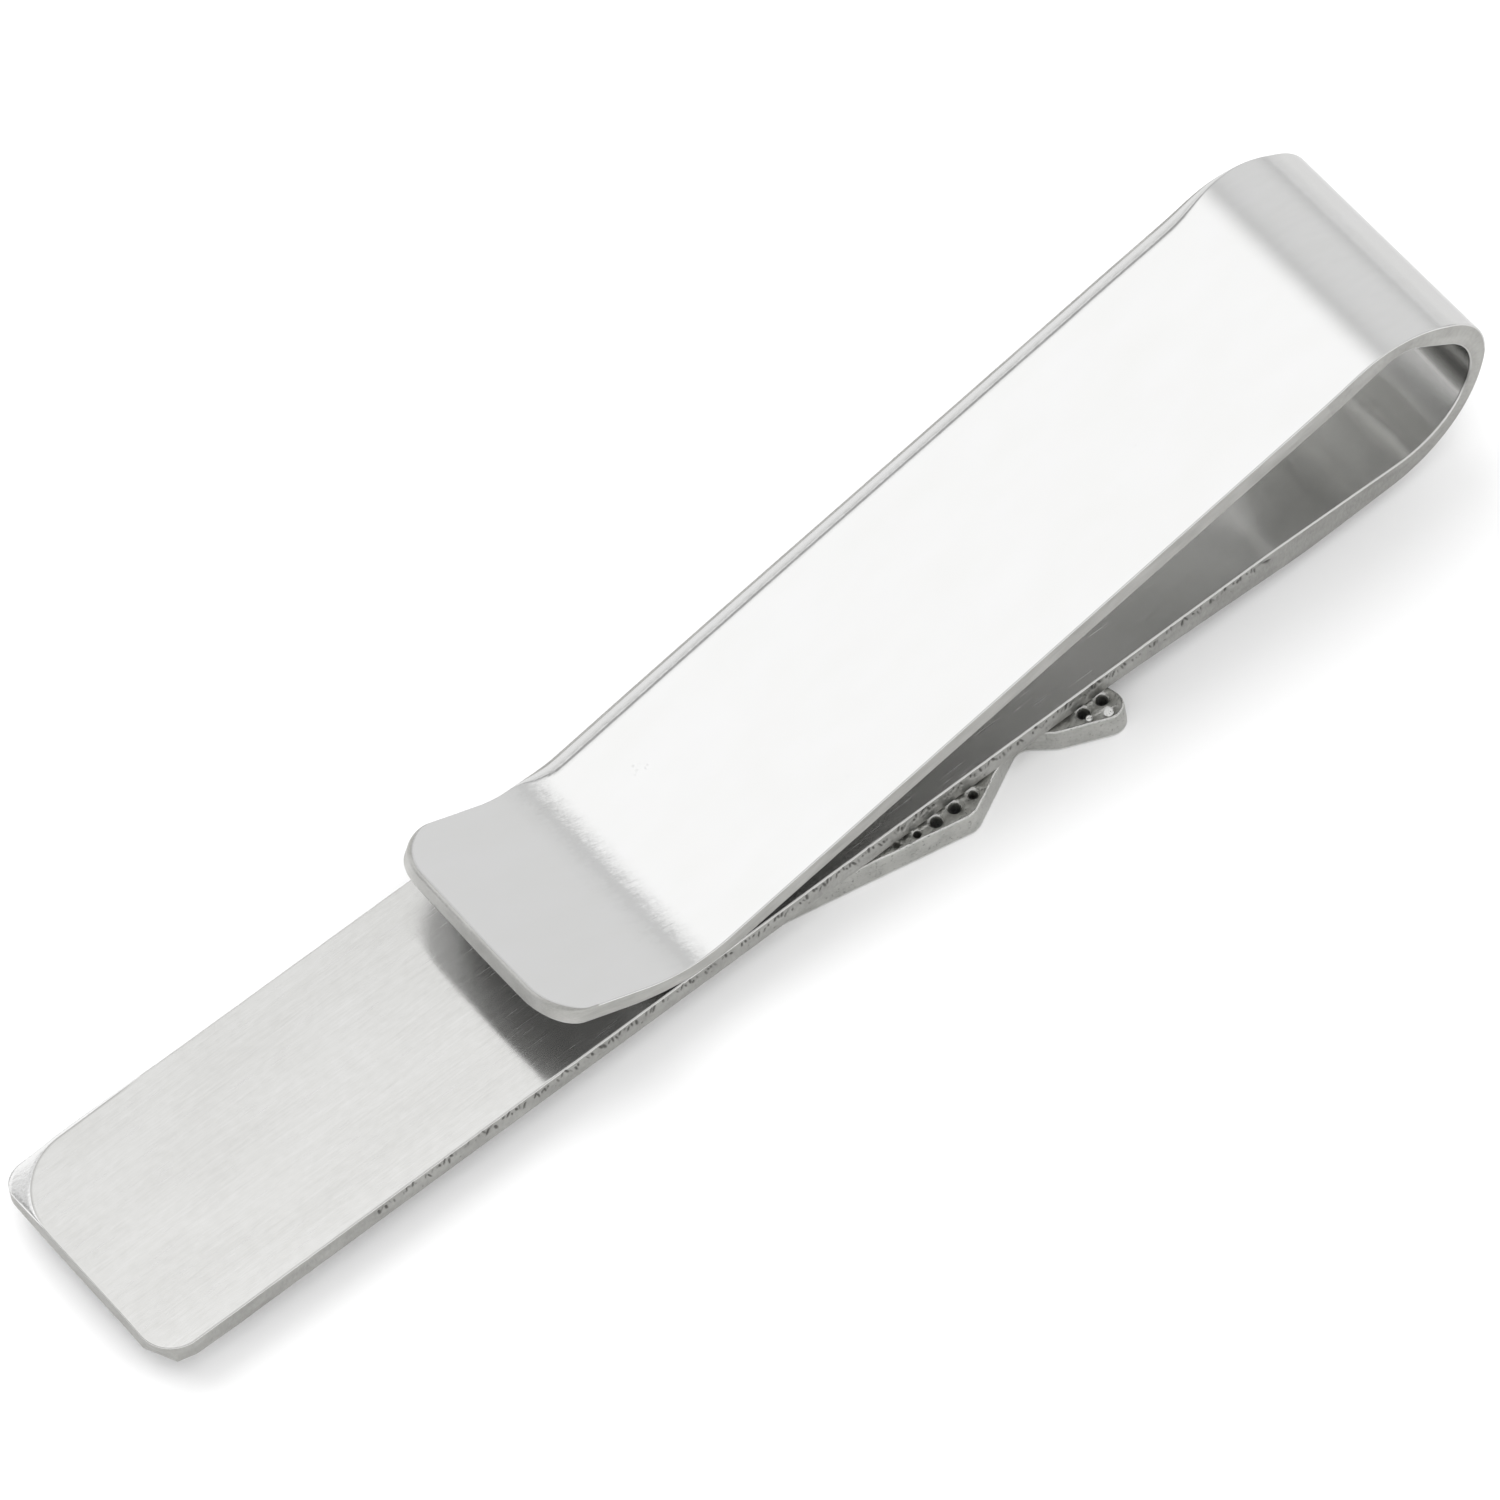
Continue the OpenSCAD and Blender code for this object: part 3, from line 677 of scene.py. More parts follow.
def sheet_piece(name, body, stations, round_at=None, radius=0.0, M=14, rows=12, mats=("back", "edge_bar", "outer"),
                pits=False, wave=None, special_corner=False, edge_wave=0.0):
    """stations: developed lengths, ascending. round_at: None, 'start' or 'end'."""
    # local list of rungs: (kind, value); q is measured from the rounded end
    if round_at == "end":
        origin, sgn = stations[-1], -1.0
        qs = [stations[-1] - s for s in reversed(stations)]
    else:
        origin, sgn = stations[0], 1.0
        qs = [s - stations[0] for s in stations]
    rungs = []
    if round_at:
        rungs += [("arc", a) for a in cap_angles()]
        qs = [radius] + [q for q in qs if q > radius + 0.03]
    rungs += [("q", q) for q in qs]
    R = len(rungs)
    K = 2 + N_IN + 1 + rows - 1 + N_OUT + 1 + 2
    pos, sheet, painted_pit_and_line_shade, = [], [], []

    def add(q, y, tau, t, pv=0.0):
        pos.append((q, y, tau, t))
        painted_pit_and_line_shade.append(pv)
        return len(pos) - 1

    def outline(kind, v, side, k=0, tau=0.0):
        """point on the outline and the inward direction, for d = 0, at ring k and depth tau"""
        if kind == "arc":
            c, s_ = math.cos(v), math.sin(v)
            if special_corner and side > 0:
                # the far corner: wide radius on the back face, tight one on the wall
                f = min(1.0, max(0.0, (k - 2) / N_IN))
                a, b = corner_point(v, radius + (0.85 - radius) * f, radius)
            elif special_corner:
                # the near corner: rounded on the back face, cropped in two straight cuts lower down
                r_ = 1.4
                f = float(ease(tau, 0.15, 0.75))
                pa_, pb_ = r_ - r_ * c, r_ - r_ * s_
                brk = math.radians(52)
                p0, p1, p2 = (0.0, r_), (0.60, 0.22), (r_, 0.0)
                g = v / brk if v < brk else (v - brk) / (math.pi / 2 - brk)
                e0, e1 = (p0, p1) if v < brk else (p1, p2)
                qa_, qb_ = e0[0] + (e1[0] - e0[0]) * g, e0[1] + (e1[1] - e0[1]) * g
                a, b = pa_ + (qa_ - pa_) * f, pb_ + (qb_ - pb_) * f
            elif side < 0:
                # the near corner of the lip is a little tighter
                r_ = radius * 0.85
                a, b = r_ - r_ * c, r_ - r_ * s_
            else:
                a, b = radius - radius * c, radius - radius * s_
            return a, side * (HW - b), c, -side * s_
        return v, side * HW, 0.0, -side

    idx = {-1: np.zeros((K, R), int), 1: np.zeros((K, R), int)}
    qarr = np.zeros(R)
    for i, (kind, v) in enumerate(rungs):
        q0 = outline(kind, v, 1)[0]
        qarr[i] = q0
    sarr = origin + sgn * qarr
    tarr = np.array([path(s)[4] for s in sarr])
    bev = {-1: [], 1: []}
    for side in (-1, 1):
        prs = []
        for i, (kind, v) in enumerate(rungs):
            bd, dr, mx = corner_bevel(kind, v, qarr[i], side) if special_corner else (IN_R, 0.06, 0.0)
            bev[side].append(mx)
            prs.append(ring_profile(tarr[i], bd, dr, mx, rows, outer_edge(sarr[i], side), 0.10 if special_corner else 0.22))
        prs = np.array(prs)  # R, K, 2
        dep = np.zeros((R, K))
        if pits:
            S = np.repeat(sarr[:, None], K, 1)
            T = prs[:, :, 1]
            wall = prs[:, :, 0] < IN_R * 0.9
            v = pit_depth(side, S.ravel(), T.ravel()).reshape(R, K)
            dep = np.where(wall, v, 0)
        if edge_wave:
            # the cut edge isn't quite straight
            T = prs[:, :, 1]
            w = (lattice(np.repeat((sarr * 2.3)[:, None], K, 1), 5 + side) + lattice(np.repeat((sarr * 7.1)[:, None], K, 1), 9 + side) * 0.6)
            ew = np.where(prs[:, :, 0] < 0.2, (w + 0.8) * edge_wave, 0)
        else:
            ew = np.zeros((R, K))
        for i, (kind, v) in enumerate(rungs):
            for k in range(K):
                d, tau = prs[i, k]
                q0, y0, nq, ny = outline(kind, v, side, k, tau)
                d = d + dep[i, k] * 0.06 + ew[i, k]
                # the pits' painted shade, and a painted dark line on the ring at the inner edge of the dressed far
                # corner
                pv = dep[i, k] if k != 1 else 0.85 * bev[side][i]
                e = k - (2 + N_IN + rows)
                if e in F_PAINTED_LINE:
                    pv = F_PAINTED_LINE[e] * facet_weight(sarr[i], side)
                idx[side][k, i] = add(q0 + nq * d, y0 + ny * d, tau, tarr[i], pv)
    faces, fm = [], []

    def quad(a, b, c, d, mi):
        faces.append((a, b, c, d))
        fm.append(mi)

    def mat_of(k, s, side, w):
        # 0 inner surface, 1 cut edge, 2 outer surface, 3 dressed corner or facet
        if k < 2 + N_IN:
            return 3 if k >= 2 and w > 0.05 else 0
        if k < 2 + N_IN + rows:
            return 1
        e = k - (2 + N_IN + rows)
        if e >= N_OUT:
            return 2
        if facet_weight(s, side) > 0.03:
            return 1 if e < 2 else (3 if e < 6 else 2)
        if s < S_APEX:
            return 1 if e < 8 else 2
        return (1 if e < 7 else 3) if s > S_TIP - 1.9 else 2

    for side in (-1, 1):
        for i in range(R - 1):
            for k in range(K - 1):
                quad(idx[side][k, i], idx[side][k, i + 1], idx[side][k + 1, i + 1], idx[side][k + 1, i], mat_of(k, sarr[i], side, bev[side][i + 1]))
    # end edge
    if round_at:
        endp = np.zeros((K, M + 1), int)
        for k in range(K):
            endp[k, 0], endp[k, M] = idx[-1][k, 0], idx[1][k, 0]
        for j in range(1, M):
            bd, dr = (0.03, 0.03) if special_corner else (IN_R, 0.06)
            pr = ring_profile(tarr[0], bd, dr, 0.0, rows, outer_edge(sarr[0], -1), 0.10 if special_corner else 0.22)
            for k in range(K):
                d, tau = pr[k]
                ya, yb = pos[endp[k, 0]][1], pos[endp[k, M]][1]
                endp[k, j] = add(d, ya + (yb - ya) * j / M, tau, tarr[0])
        for j in range(M):
            for k in range(K - 1):
                quad(endp[k, j], endp[k, j + 1], endp[k + 1, j + 1], endp[k + 1, j], mat_of(k, sarr[0], -1, 0))
    # surfaces across the strip
    caps = []
    for kk, mi in ((0, 0), (K - 1, 2)):
        grid = np.zeros((R, M + 1), int)
        for i in range(R):
            a, b = idx[-1][kk, i], idx[1][kk, i]
            grid[i, 0], grid[i, M] = a, b
            if i == 0 and round_at:
                grid[0, :] = endp[kk, :]
                continue
            qa, ya, ta, _ = pos[a]
            qb, yb, tb, _ = pos[b]
            for j in range(1, M):
                f = j / M
                grid[i, j] = add(qa + (qb - qa) * f, ya + (yb - ya) * f, ta + (tb - ta) * f, tarr[i])
        for i in range(R - 1):
            for j in range(M):
                quad(grid[i, j], grid[i + 1, j], grid[i + 1, j + 1], grid[i, j + 1], mi)
        caps.append(grid)
    cap_edges = set()

    def cap(i):
        loop = list(caps[0][i]) + [idx[1][k, i] for k in range(1, K - 1)] + list(caps[1][i][::-1]) + [idx[-1][k, i] for k in range(K - 2, 0, -1)]
        faces.append(tuple(loop))
        fm.append(1)
        for a, b in zip(loop, loop[1:] + loop[:1]):
            cap_edges.add((min(a, b), max(a, b)))

    cap(R - 1)
    if not round_at:
        cap(0)
    pa = np.array(pos)
    if special_corner:
        pa[:, 0] += end_skew(pa[:, 0], pa[:, 1], pa[:, 2], pa[:, 3])
    elif round_at == "end":
        pa[:, 0] += lip_skew(pa[:, 0], pa[:, 1])
    s = origin + sgn * pa[:, 0]
    y, tau, t = pa[:, 1], pa[:, 2], pa[:, 3]
    x, z, nx, nz, tt_ = path(s)
    if wave is not None:
        tau = tau + wave(s, y, tau, t)
    y = y + far_shift(s) * (y + HW) / (2 * HW) - near_shift(s) * (HW - y) / (2 * HW)
    co = np.stack([x + nx * tau, y, z + nz * tau], 1) * MM
    me = bpy.data.meshes.new(name)
    me.from_pydata(co.tolist(), [], faces)
    me.update()
    for mname in mats:
        me.materials.append(MAT[mname])
    me.polygons.foreach_set("material_index", fm)
    at = me.attributes.new("sheet", "FLOAT_VECTOR", "POINT")
    at.data.foreach_set("vector", np.stack([s, y, tau], 1).astype(np.float32).ravel())
    at = me.attributes.new("painted_pit_and_line_shade", "FLOAT", "POINT")
    at.data.foreach_set("value", np.array(painted_pit_and_line_shade, np.float32))
    bm = bmesh.new()
    bm.from_mesh(me)
    bmesh.ops.recalc_face_normals(bm, faces=bm.faces)
    bm.verts.ensure_lookup_table()
    bm.edges.ensure_lookup_table()
    for e in bm.edges:
        a, b = e.verts[0].index, e.verts[1].index
        if (min(a, b), max(a, b)) in cap_edges:
            e.smooth = False
    uv = bm.loops.layers.uv.new("flow")
    lay = bm.verts.layers.float_vector["sheet"]
    for f in bm.faces:
        for lp in f.loops:
            c = lp.vert[lay]
            lp[uv].uv = (c[0] / 140.0, (c[1] + c[2] * 0.5 + 6) / 140.0)
    for f in bm.faces:
        f.smooth = True
    bm.to_mesh(me)
    bm.free()
    ob = bpy.data.objects.new(name, me)
    scene.collection.objects.link(ob)
    return ob


def span(a, b, step):
    n = max(1, int(math.ceil((b - a) / step)))
    return [a + (b - a) * k / n for k in range(n + 1)]


def in_arc(lo, hi):
    """developed lengths on the bend, finer where it turns"""
    s, a = IN[0], IN[3]
    out = [lo]
    last_a = np.interp(lo, s, a)
    c = lo
    while c < hi - 1e-6:
        c += 0.01
        ca = np.interp(c, s, a)
        if c - out[-1] >= 0.22 or abs(ca - last_a) >= R2D(2.6):
            out.append(c)
            last_a = ca
    if hi - out[-1] < 0.05:
        out[-1] = hi
    else:
        out.append(hi)
    return out


def bend_wave(s, y, tau, t):
    """slight unevenness of the inside of the bend, as left by forming it"""
    w = np.clip((s - 44) / 3, 0, 1) * np.clip((S2 - 0.4 - s) / 3, 0, 1)
    inner = np.clip(1 - tau / np.maximum(t, 0.1) * 4, 0, 1)
    edge = np.clip((HW - np.abs(y)) / 0.6, 0, 1)
    n = lattice2(s / 1.9, y / 1.7 + 9, 3) + 0.5 * lattice2(s / 0.9, y / 0.9 + 40, 4)
    return 0.028 * n * w * inner * edge + 0.014 * w * inner


def tongue_wave(s, y, tau, t):
    """slight twist of the straight part, and the lip thinned from below towards its end"""
    tip = np.clip((s - (S_TIP - 1.4)) / 1.4, 0, 1) ** 1.5
    lift = 0.17 * tip * np.clip(1 - tau / np.maximum(t, 0.1), 0, 1)
    twist = 0.08 * ease(s, s_at_tongue(48.0), s_at_tongue(38.0)) * (1 - ease(s, s_at_tongue(25.0), S_TIP))
    return lift + twist * (y + HW) / (2 * HW)


bar = sheet_piece("strip_bar", "clip_bar", span(0.0, S1, 0.045), "start", R_END, M=16, rows=13,
                  mats=("back", "edge_bar", "outer", "crescent_painted_light"), pits=True, special_corner=True, edge_wave=0.006)
bend_st = span(S1, 46.6, 0.05) + in_arc(46.6, S2)[1:]
bend = sheet_piece("strip_bend", None, bend_st, None, 0, M=24, rows=13, mats=("back", "edge_bar", "skin", "bevel"),
                   pits=True, wave=bend_wave, edge_wave=0.0)
tongue_st = span(S2, S_TIP, 0.12)
tongue = sheet_piece("strip_tongue", "clip_tongue", tongue_st, "end", 1.95, M=16, rows=10,
                     mats=("under", "edge_tongue", "mirror", "bevel"), wave=tongue_wave)

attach(bar, "clip_bar")
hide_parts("bar")
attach(tongue, "clip_tongue")
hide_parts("tongue")
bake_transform(bend)

# ------------------------------------------------------------------ ornament
OH = [(10.5, 0.42), (12.3, 1.06), (33.59, 5.54), (36.56, 3.97), (37.60, 4.87), (40.52, 6.19)]
OHR = [0.4, 0, 0.8, 0.6, 0.5, 0.6]
OV = [P(x, -y) for x, y in OH] + [P(38.9, 0)] + [P(x, y) for x, y in reversed(OH)]
OR = OHR + [1.2] + OHR[::-1]
MH = [(13.4, 0.24), (21.8, 1.72), (37.6, 1.72)]
MV = [P(x, -y) for x, y in MH] + [P(37.0, 0)] + [P(x, y) for x, y in reversed(MH)]
STONE, SMALL, PX, PY, DRILL = 0.3, 0.17, 0.8, 0.6, 0.2
PLATE, FIELD = 1.16, 0.2


def unit(v):
    return v / np.linalg.norm(v)


def is_convex(V, i):
    a, b, c = V[i - 1], V[i], V[(i + 1) % len(V)]
    return (b[0] - a[0]) * (c[1] - b[1]) - (b[1] - a[1]) * (c[0] - b[0]) > 0


def ring_poly(V, R, d, base_counts=None, narc=9):
    n = len(V)
    W, Q = [], []
    for i in range(n):
        u, v = unit(V[i - 1] - V[i]), unit(V[(i + 1) % n] - V[i])
        h = math.acos(max(-1, min(1, float(u @ v)))) / 2
        cv = is_convex(V, i)
        W.append(V[i] + unit(u + v) * (1 if cv else -1) * d / math.sin(h))
        Q.append(0 if R[i] <= 0 else (max(R[i] - d, 0.05) if cv else R[i] + d))
    arcs = []
    for i in range(n):
        if Q[i] <= 0:
            arcs.append([W[i]])
            continue
        c, p0, p1 = corner(W[i - 1], W[i], W[(i + 1) % n], Q[i])
        a0 = math.atan2(*(p0 - c)[::-1])
        a1 = math.atan2(*(p1 - c)[::-1])
        da = (a1 - a0 + math.pi) % (2 * math.pi) - math.pi
        arcs.append([c + Q[i] * P(math.cos(a0 + da * k / narc), math.sin(a0 + da * k / narc)) for k in range(narc + 1)])
    if base_counts is None:
        base_counts = [max(1, int(np.linalg.norm(arcs[(i + 1) % n][0] - arcs[i][-1]) / 0.25)) for i in range(n)]
    out = []
    for i in range(n):
        out += arcs[i]
        a, b = arcs[i][-1], arcs[(i + 1) % n][0]
        for k in range(1, base_counts[i]):
            out.append(a + (b - a) * k / base_counts[i])
    return np.array(out), base_counts


def inside(p, V):
    r = False
    n = len(V)
    for i in range(n):
        a, b = V[i], V[(i + 1) % n]
        if (a[1] > p[1]) != (b[1] > p[1]) and p[0] < a[0] + (p[1] - a[1]) / (b[1] - a[1]) * (b[0] - a[0]):
            r = not r
    return r


def edge_dist(p, V):
    best = 1e9
    n = len(V)
    for i in range(n):
        a, b = V[i], V[(i + 1) % n]
        u = max(0, min(1, float((p - a) @ (b - a)) / float((b - a) @ (b - a))))
        best = min(best, np.linalg.norm(p - a - (b - a) * u))
    return best


def row_xy(k, j):
    return P(0.42 + (0 if k % 2 == 1 else PX / 2) + PX * j, 2.45 + PY * (k - 1))


def room(p):
    return edge_dist(p, OV) if inside(p, OV) and not inside(p, MV) and edge_dist(p, MV) > STONE + 0.06 else 0


full, small, bead = {}, {}, []
for k in range(1, 6):
    full[k] = [p for p in (row_xy(k, j) for j in range(14, 53)) if room(p) > STONE + 0.12]
    small[k] = [p for p in (row_xy(k, j) for j in range(14, 53)) if SMALL + 0.09 < room(p) <= STONE + 0.12]
    for j in range(14, 53):
        p = row_xy(k, j) + P(PX / 2, PY * 0.37)
        if inside(p, OV) and edge_dist(p, OV) > 0.32 and edge_dist(p, MV) > 0.12:
            bead.append(p)
BLIND = [P(30.83, 4.71)]
GLINT = [(P(38.84, 5.16), 0.13), (P(39.49, 5.40), 0.19)]
Y_BOTH = (-1, 1)


class Builder:
    def __init__(self):
        self.v, self.f, self.m, self.s = [], [], [], []

    def add(self, pts):
        a = len(self.v)
        self.v += [tuple(map(float, p)) for p in pts]
        return list(range(a, a + len(pts)))

    def face(self, f, m, smooth=True):
        self.f.append(tuple(f))
        self.m.append(m)
        self.s.append(smooth)

    def loft(self, a, b, m, closed=True, smooth=True):
        n = len(a)
        for i in range(n if closed else n - 1):
            j = (i + 1) % n
            self.face((a[i], a[j], b[j], b[i]), m, smooth)

    def fill(self, outer, holes, z, m):
        """flat face with holes: index loops of vertices that lie in one plane"""
        loops = [outer] + holes
        ids = [i for lp in loops for i in lp]
        co = [Vector(self.v[i][:2]) for i in ids]
        edges, base = [], 0
        for lp in loops:
            n = len(lp)
            edges += [(base + i, base + (i + 1) % n) for i in range(n)]
            base += n
        verts, _, tris, orig, _, _ = delaunay_2d_cdt(co, edges, [], 0, 1e-5)
        mapping = []
        for vi, o in enumerate(orig):
            if o:
                mapping.append(ids[o[0]])
            else:
                mapping.append(self.add([(verts[vi].x, verts[vi].y, z)])[0])
        V = [np.array(self.v[i][:2]) for i in outer]
        hs = [[np.array(self.v[i][:2]) for i in lp] for lp in holes]
        hc = [(sum(h) / len(h), max(np.linalg.norm(q - sum(h) / len(h)) for q in h)) for h in hs]
        for t in tris:
            c = sum((np.array(verts[i][:2]) for i in t), P(0, 0)) / 3
            if not inside(c, V):
                continue
            if any(np.linalg.norm(c - q) < r and inside(c, h) for (q, r), h in zip(hc, hs)):
                continue
            self.face([mapping[i] for i in t], m)

    def mesh(self, name, mats, flip_fix=True):
        me = bpy.data.meshes.new(name)
        co = [(x * MM, y * MM, z * MM) for x, y, z in self.v]
        me.from_pydata(co, [], self.f)
        me.update()
        for mname in mats:
            me.materials.append(MAT[mname])
        me.polygons.foreach_set("material_index", self.m)
        me.polygons.foreach_set("use_smooth", self.s)
        if flip_fix:
            bm = bmesh.new()
            bm.from_mesh(me)
            bmesh.ops.recalc_face_normals(bm, faces=bm.faces)
            bm.to_mesh(me)
            bm.free()
        ob = bpy.data.objects.new(name, me)
        scene.collection.objects.link(ob)
        return ob


def circle(c, r, n, z, wob=0.0, rnd=None):
    out = []
    for i in range(n):
        a = 2 * math.pi * i / n
        rr = r * (1 + (rnd.uniform(-wob, wob) if rnd else 0))
        out.append((c[0] + XF + rr * math.cos(a), c[1] + rr * math.sin(a), z))
    return out


def panel_half(x):
    if x < 21.8:
        return 0.24 + (x - 13.4) / 8.4 * 1.48
    return 1.72


def make_plate():
    B = Builder()
    rnd = random.Random(5)
    _, counts = ring_poly(OV, OR, 0)
    rb, rf, ri = 0.06, 0.06, 0.05
    prof = [(0.085, PLATE), (rb, PLATE)]
    prof += [(rb * (1 - math.sin(a)), PLATE - rb * (1 - math.cos(a))) for a in [math.pi / 2 * k / 4 for k in range(1, 5)]]
    prof += [(0.0, z) for z in (1.0, 0.85, 0.7, 0.55, 0.4, 0.25)]
    prof += [(0.0, 0.12)]
    prof += [(rf * (1 - math.cos(a)), 0.06 - rf * math.sin(a)) for a in [math.pi / 2 * k / 4 for k in range(0, 5)]]
    prof += [(0.075, 0.0), (0.09, 0.0)]
    prof += [(0.09 + ri * math.sin(a), ri * (1 - math.cos(a))) for a in [math.pi / 2 * k / 4 for k in range(1, 5)]]
    prof += [(0.14, 0.12), (0.142, 0.185), (0.146, FIELD), (0.150, FIELD)]
    rings = []
    rim0, _ = ring_poly(OV, OR, 0.0, counts)
    rim1, _ = ring_poly(OV, OR, 0.15, counts)
    lay = np.concatenate([[0], np.cumsum(np.linalg.norm(np.diff(rim0, axis=0), axis=1))])
    rag = lattice(lay * 3.1, 31) + 0.7 * lattice(lay * 8.3, 32)
    for k, (d, z) in enumerate(prof):
        pts, _ = ring_poly(OV, OR, d, counts)
        # the upper rim isn't quite even
        w = {0: 0.5, 1: 0.8, 2: 1.0, 3: 1.0, 4: 1.0, 5: 0.8, 6: 0.4}.get(k, 0.0)
        q = []
        for i, p in enumerate(pts):
            p = p + (rim1[i] - rim0[i]) / 0.15 * (0.030 * w * (rag[i] + 0.6))
            q.append((p[0] + XF, p[1], z))
        rings.append(B.add(q))
    for k in range(len(rings) - 1):
        mi = 0 if k < 12 else 2
        if 1 <= k < 4:
            mi = 4
        B.loft(rings[k], rings[k + 1], mi)
    back_holes, field_holes = [], []

    def seat(c, r_open, r_drill):
        n = 24
        # countersunk from the back, as far as the rim lets it
        wide = min(0.08, max(0.012, edge_dist(c, OV) - 0.115 - r_drill))
        a = B.add(circle(c, r_open, n, FIELD))
        a2 = B.add(circle(c, r_open - 0.008, n, FIELD + 0.01))
        b = B.add(circle(c, r_drill, n, FIELD + 0.08))
        e = B.add(circle(c, r_drill, n, PLATE - 0.5))
        e2 = B.add(circle(c, r_drill + 0.002, n, PLATE - wide * 1.25, 0.02, rnd))
        f = B.add(circle(c, r_drill + wide * 0.5, n, PLATE - wide * 0.65, 0.02, rnd))
        f2 = B.add(circle(c, r_drill + wide * 0.9, n, PLATE - wide * 0.16, 0.02, rnd))
        g = B.add(circle(c, r_drill + wide, n, PLATE, 0.015, rnd))
        for p, q in ((a, a2), (a2, b), (b, e), (e, e2)):
            B.loft(p, q, 3)
        for p, q in ((e2, f), (f, f2), (f2, g)):
            B.loft(p, q, 4)
        field_holes.append(a)
        back_holes.append(g)

    def pocket(c, r, depth, mi=3):
        n = 20
        g = B.add(circle(c, r, n, PLATE, 0.03, rnd))
        f = B.add(circle(c, r * 0.97, n, PLATE - min(0.02, depth * 0.4)))
        e = B.add(circle(c, r * 0.88, n, PLATE - depth * 0.9))
        d = B.add(circle(c, r * 0.5, n, PLATE - depth))
        t = B.add([(c[0] + XF, c[1], PLATE - depth)])[0]
        if mi == 5:
            # its floor slopes outwards
            for i in f + e + d + [t]:
                x_, y_, z_ = B.v[i]
                out_ = (c[1] - y_) * (1 if c[1] < 0 else -1)
                B.v[i] = (x_, y_, z_ - 0.27 * (r + out_) - 0.12 * (r - (x_ - c[0] - XF)))
        for p, q in ((g, f), (f, e), (e, d)):
            B.loft(p, q, mi)
        for i in range(n):
            B.face((d[i], d[(i + 1) % n], t), mi)
        back_holes.append(g)

    for sgn in Y_BOTH:
        for k in range(1, 6):
            for p in full[k]:
                seat(P(p[0], sgn * p[1]), 0.2665, DRILL)
            for p in small[k]:
                c = P(p[0], sgn * p[1])
                seat(c, min(0.155, edge_dist(c, OV) - 0.158), 0.15 if edge_dist(c, OV) > 0.27 else 0.14)
        for p in BLIND:
            pocket(P(p[0], sgn * p[1]), 0.12, 0.45)
        for p, r in GLINT:
            pocket(P(p[0], sgn * p[1]), r, 0.018, 5)
    # middle panel: low roof with swept grooves
    NX, NY = 640, 16
    x0, f_list = 13.4, [j / NY for j in range(-NY, NY + 1)]
    top = []
    for i in range(NX + 1):
        c = i / NX
        c = c
        row = []
        for f in f_list:
            x = x0 + c * (23.6 + 0.6 * abs(f))
            y = f * panel_half(x)
            ay = abs(y)
            z = 0.0 if ay < 0.2 else 0.14 * min(1, (ay - 0.2) / 1.5)
            z = z + 0.012 * math.exp(-((ay - 0.2) / 0.06) ** 2)
            # swept grooves
            if ay > 0.30:
                u = (x - 16.2) - (ay - 0.34) / math.tan(R2D(28))
                ph = (u / 1.45) - round(u / 1.45)
                gi = round(u / 1.45)
                if 0 <= gi <= 13:
                    dist = abs(ph) * 1.45 * math.sin(R2D(28))
                    g = math.exp(-(dist / 0.055) ** 2) * min(1, (ay - 0.30) / 0.1)
                    fine = 0.5 + 0.5 * math.cos(2 * math.pi * (u / 0.3625))
                    z = z + (0.165 - z) * g * 0.95 + 0.010 * fine * min(1, (ay - 0.30) / 0.2)
            edge = min(1.0, (1 - abs(f)) * panel_half(x) / 0.07, c * 24 / 0.07, (1 - c) * 24 / 0.07)
            z += 0.045 * (1 - math.sqrt(max(0.0, 1 - (1 - edge) ** 2)))
            row.append((x + XF, y, min(z, 0.17)))
        top.append(B.add(row))
    for i in range(NX):
        for j in range(2 * NY):
            B.face((top[i][j], top[i + 1][j], top[i + 1][j + 1], top[i][j + 1]), 2)
    rim = [top[i][0] for i in range(NX + 1)] + [top[NX][j] for j in range(1, 2 * NY + 1)] + \
          [top[i][2 * NY] for i in range(NX - 1, -1, -1)] + [top[0][j] for j in range(2 * NY - 1, 0, -1)]
    foot = B.add([(B.v[i][0], B.v[i][1], FIELD) for i in rim])
    B.loft(rim, foot, 2)
    B.fill(rings[0], back_holes, PLATE, 1)
    B.fill(rings[-1], field_holes + [foot], FIELD, 1)
    # beads that hold the crystals
    for sgn in Y_BOTH:
        for p in bead:
            cx, cy = p[0] + XF, sgn * p[1]
            r = 0.078 * rnd.uniform(0.92, 1.06)
            zc = FIELD - 0.045
            prev = None
            for a in (0, 25, 50, 75):
                rr = r * math.cos(R2D(a))
                zz = zc - r * math.sin(R2D(a))
                ring = B.add([(cx + rr * math.cos(R2D(b)), cy + rr * math.sin(R2D(b)), zz) for b in range(0, 360, 30)])
                if prev is None:
                    low = B.add([(cx + rr * 1.05 * math.cos(R2D(b)), cy + rr * 1.05 * math.sin(R2D(b)), FIELD + 0.01) for b in range(0, 360, 30)])
                    B.loft(low, ring, 2)
                    B.face(low[::-1], 2)
                else:
                    B.loft(prev, ring, 2)
                prev = ring
            t = B.add([(cx, cy, zc - r)])[0]
            for i in range(12):
                B.face((prev[i], prev[(i + 1) % 12], t), 2)
    ob = B.mesh("ornament_casting", ("cast_wall", "cast_back", "cast_front", "seat", "sink", "dimple"))
    return ob


plate = make_plate()
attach(plate, "clip_bar")
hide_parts("ornament_plate")


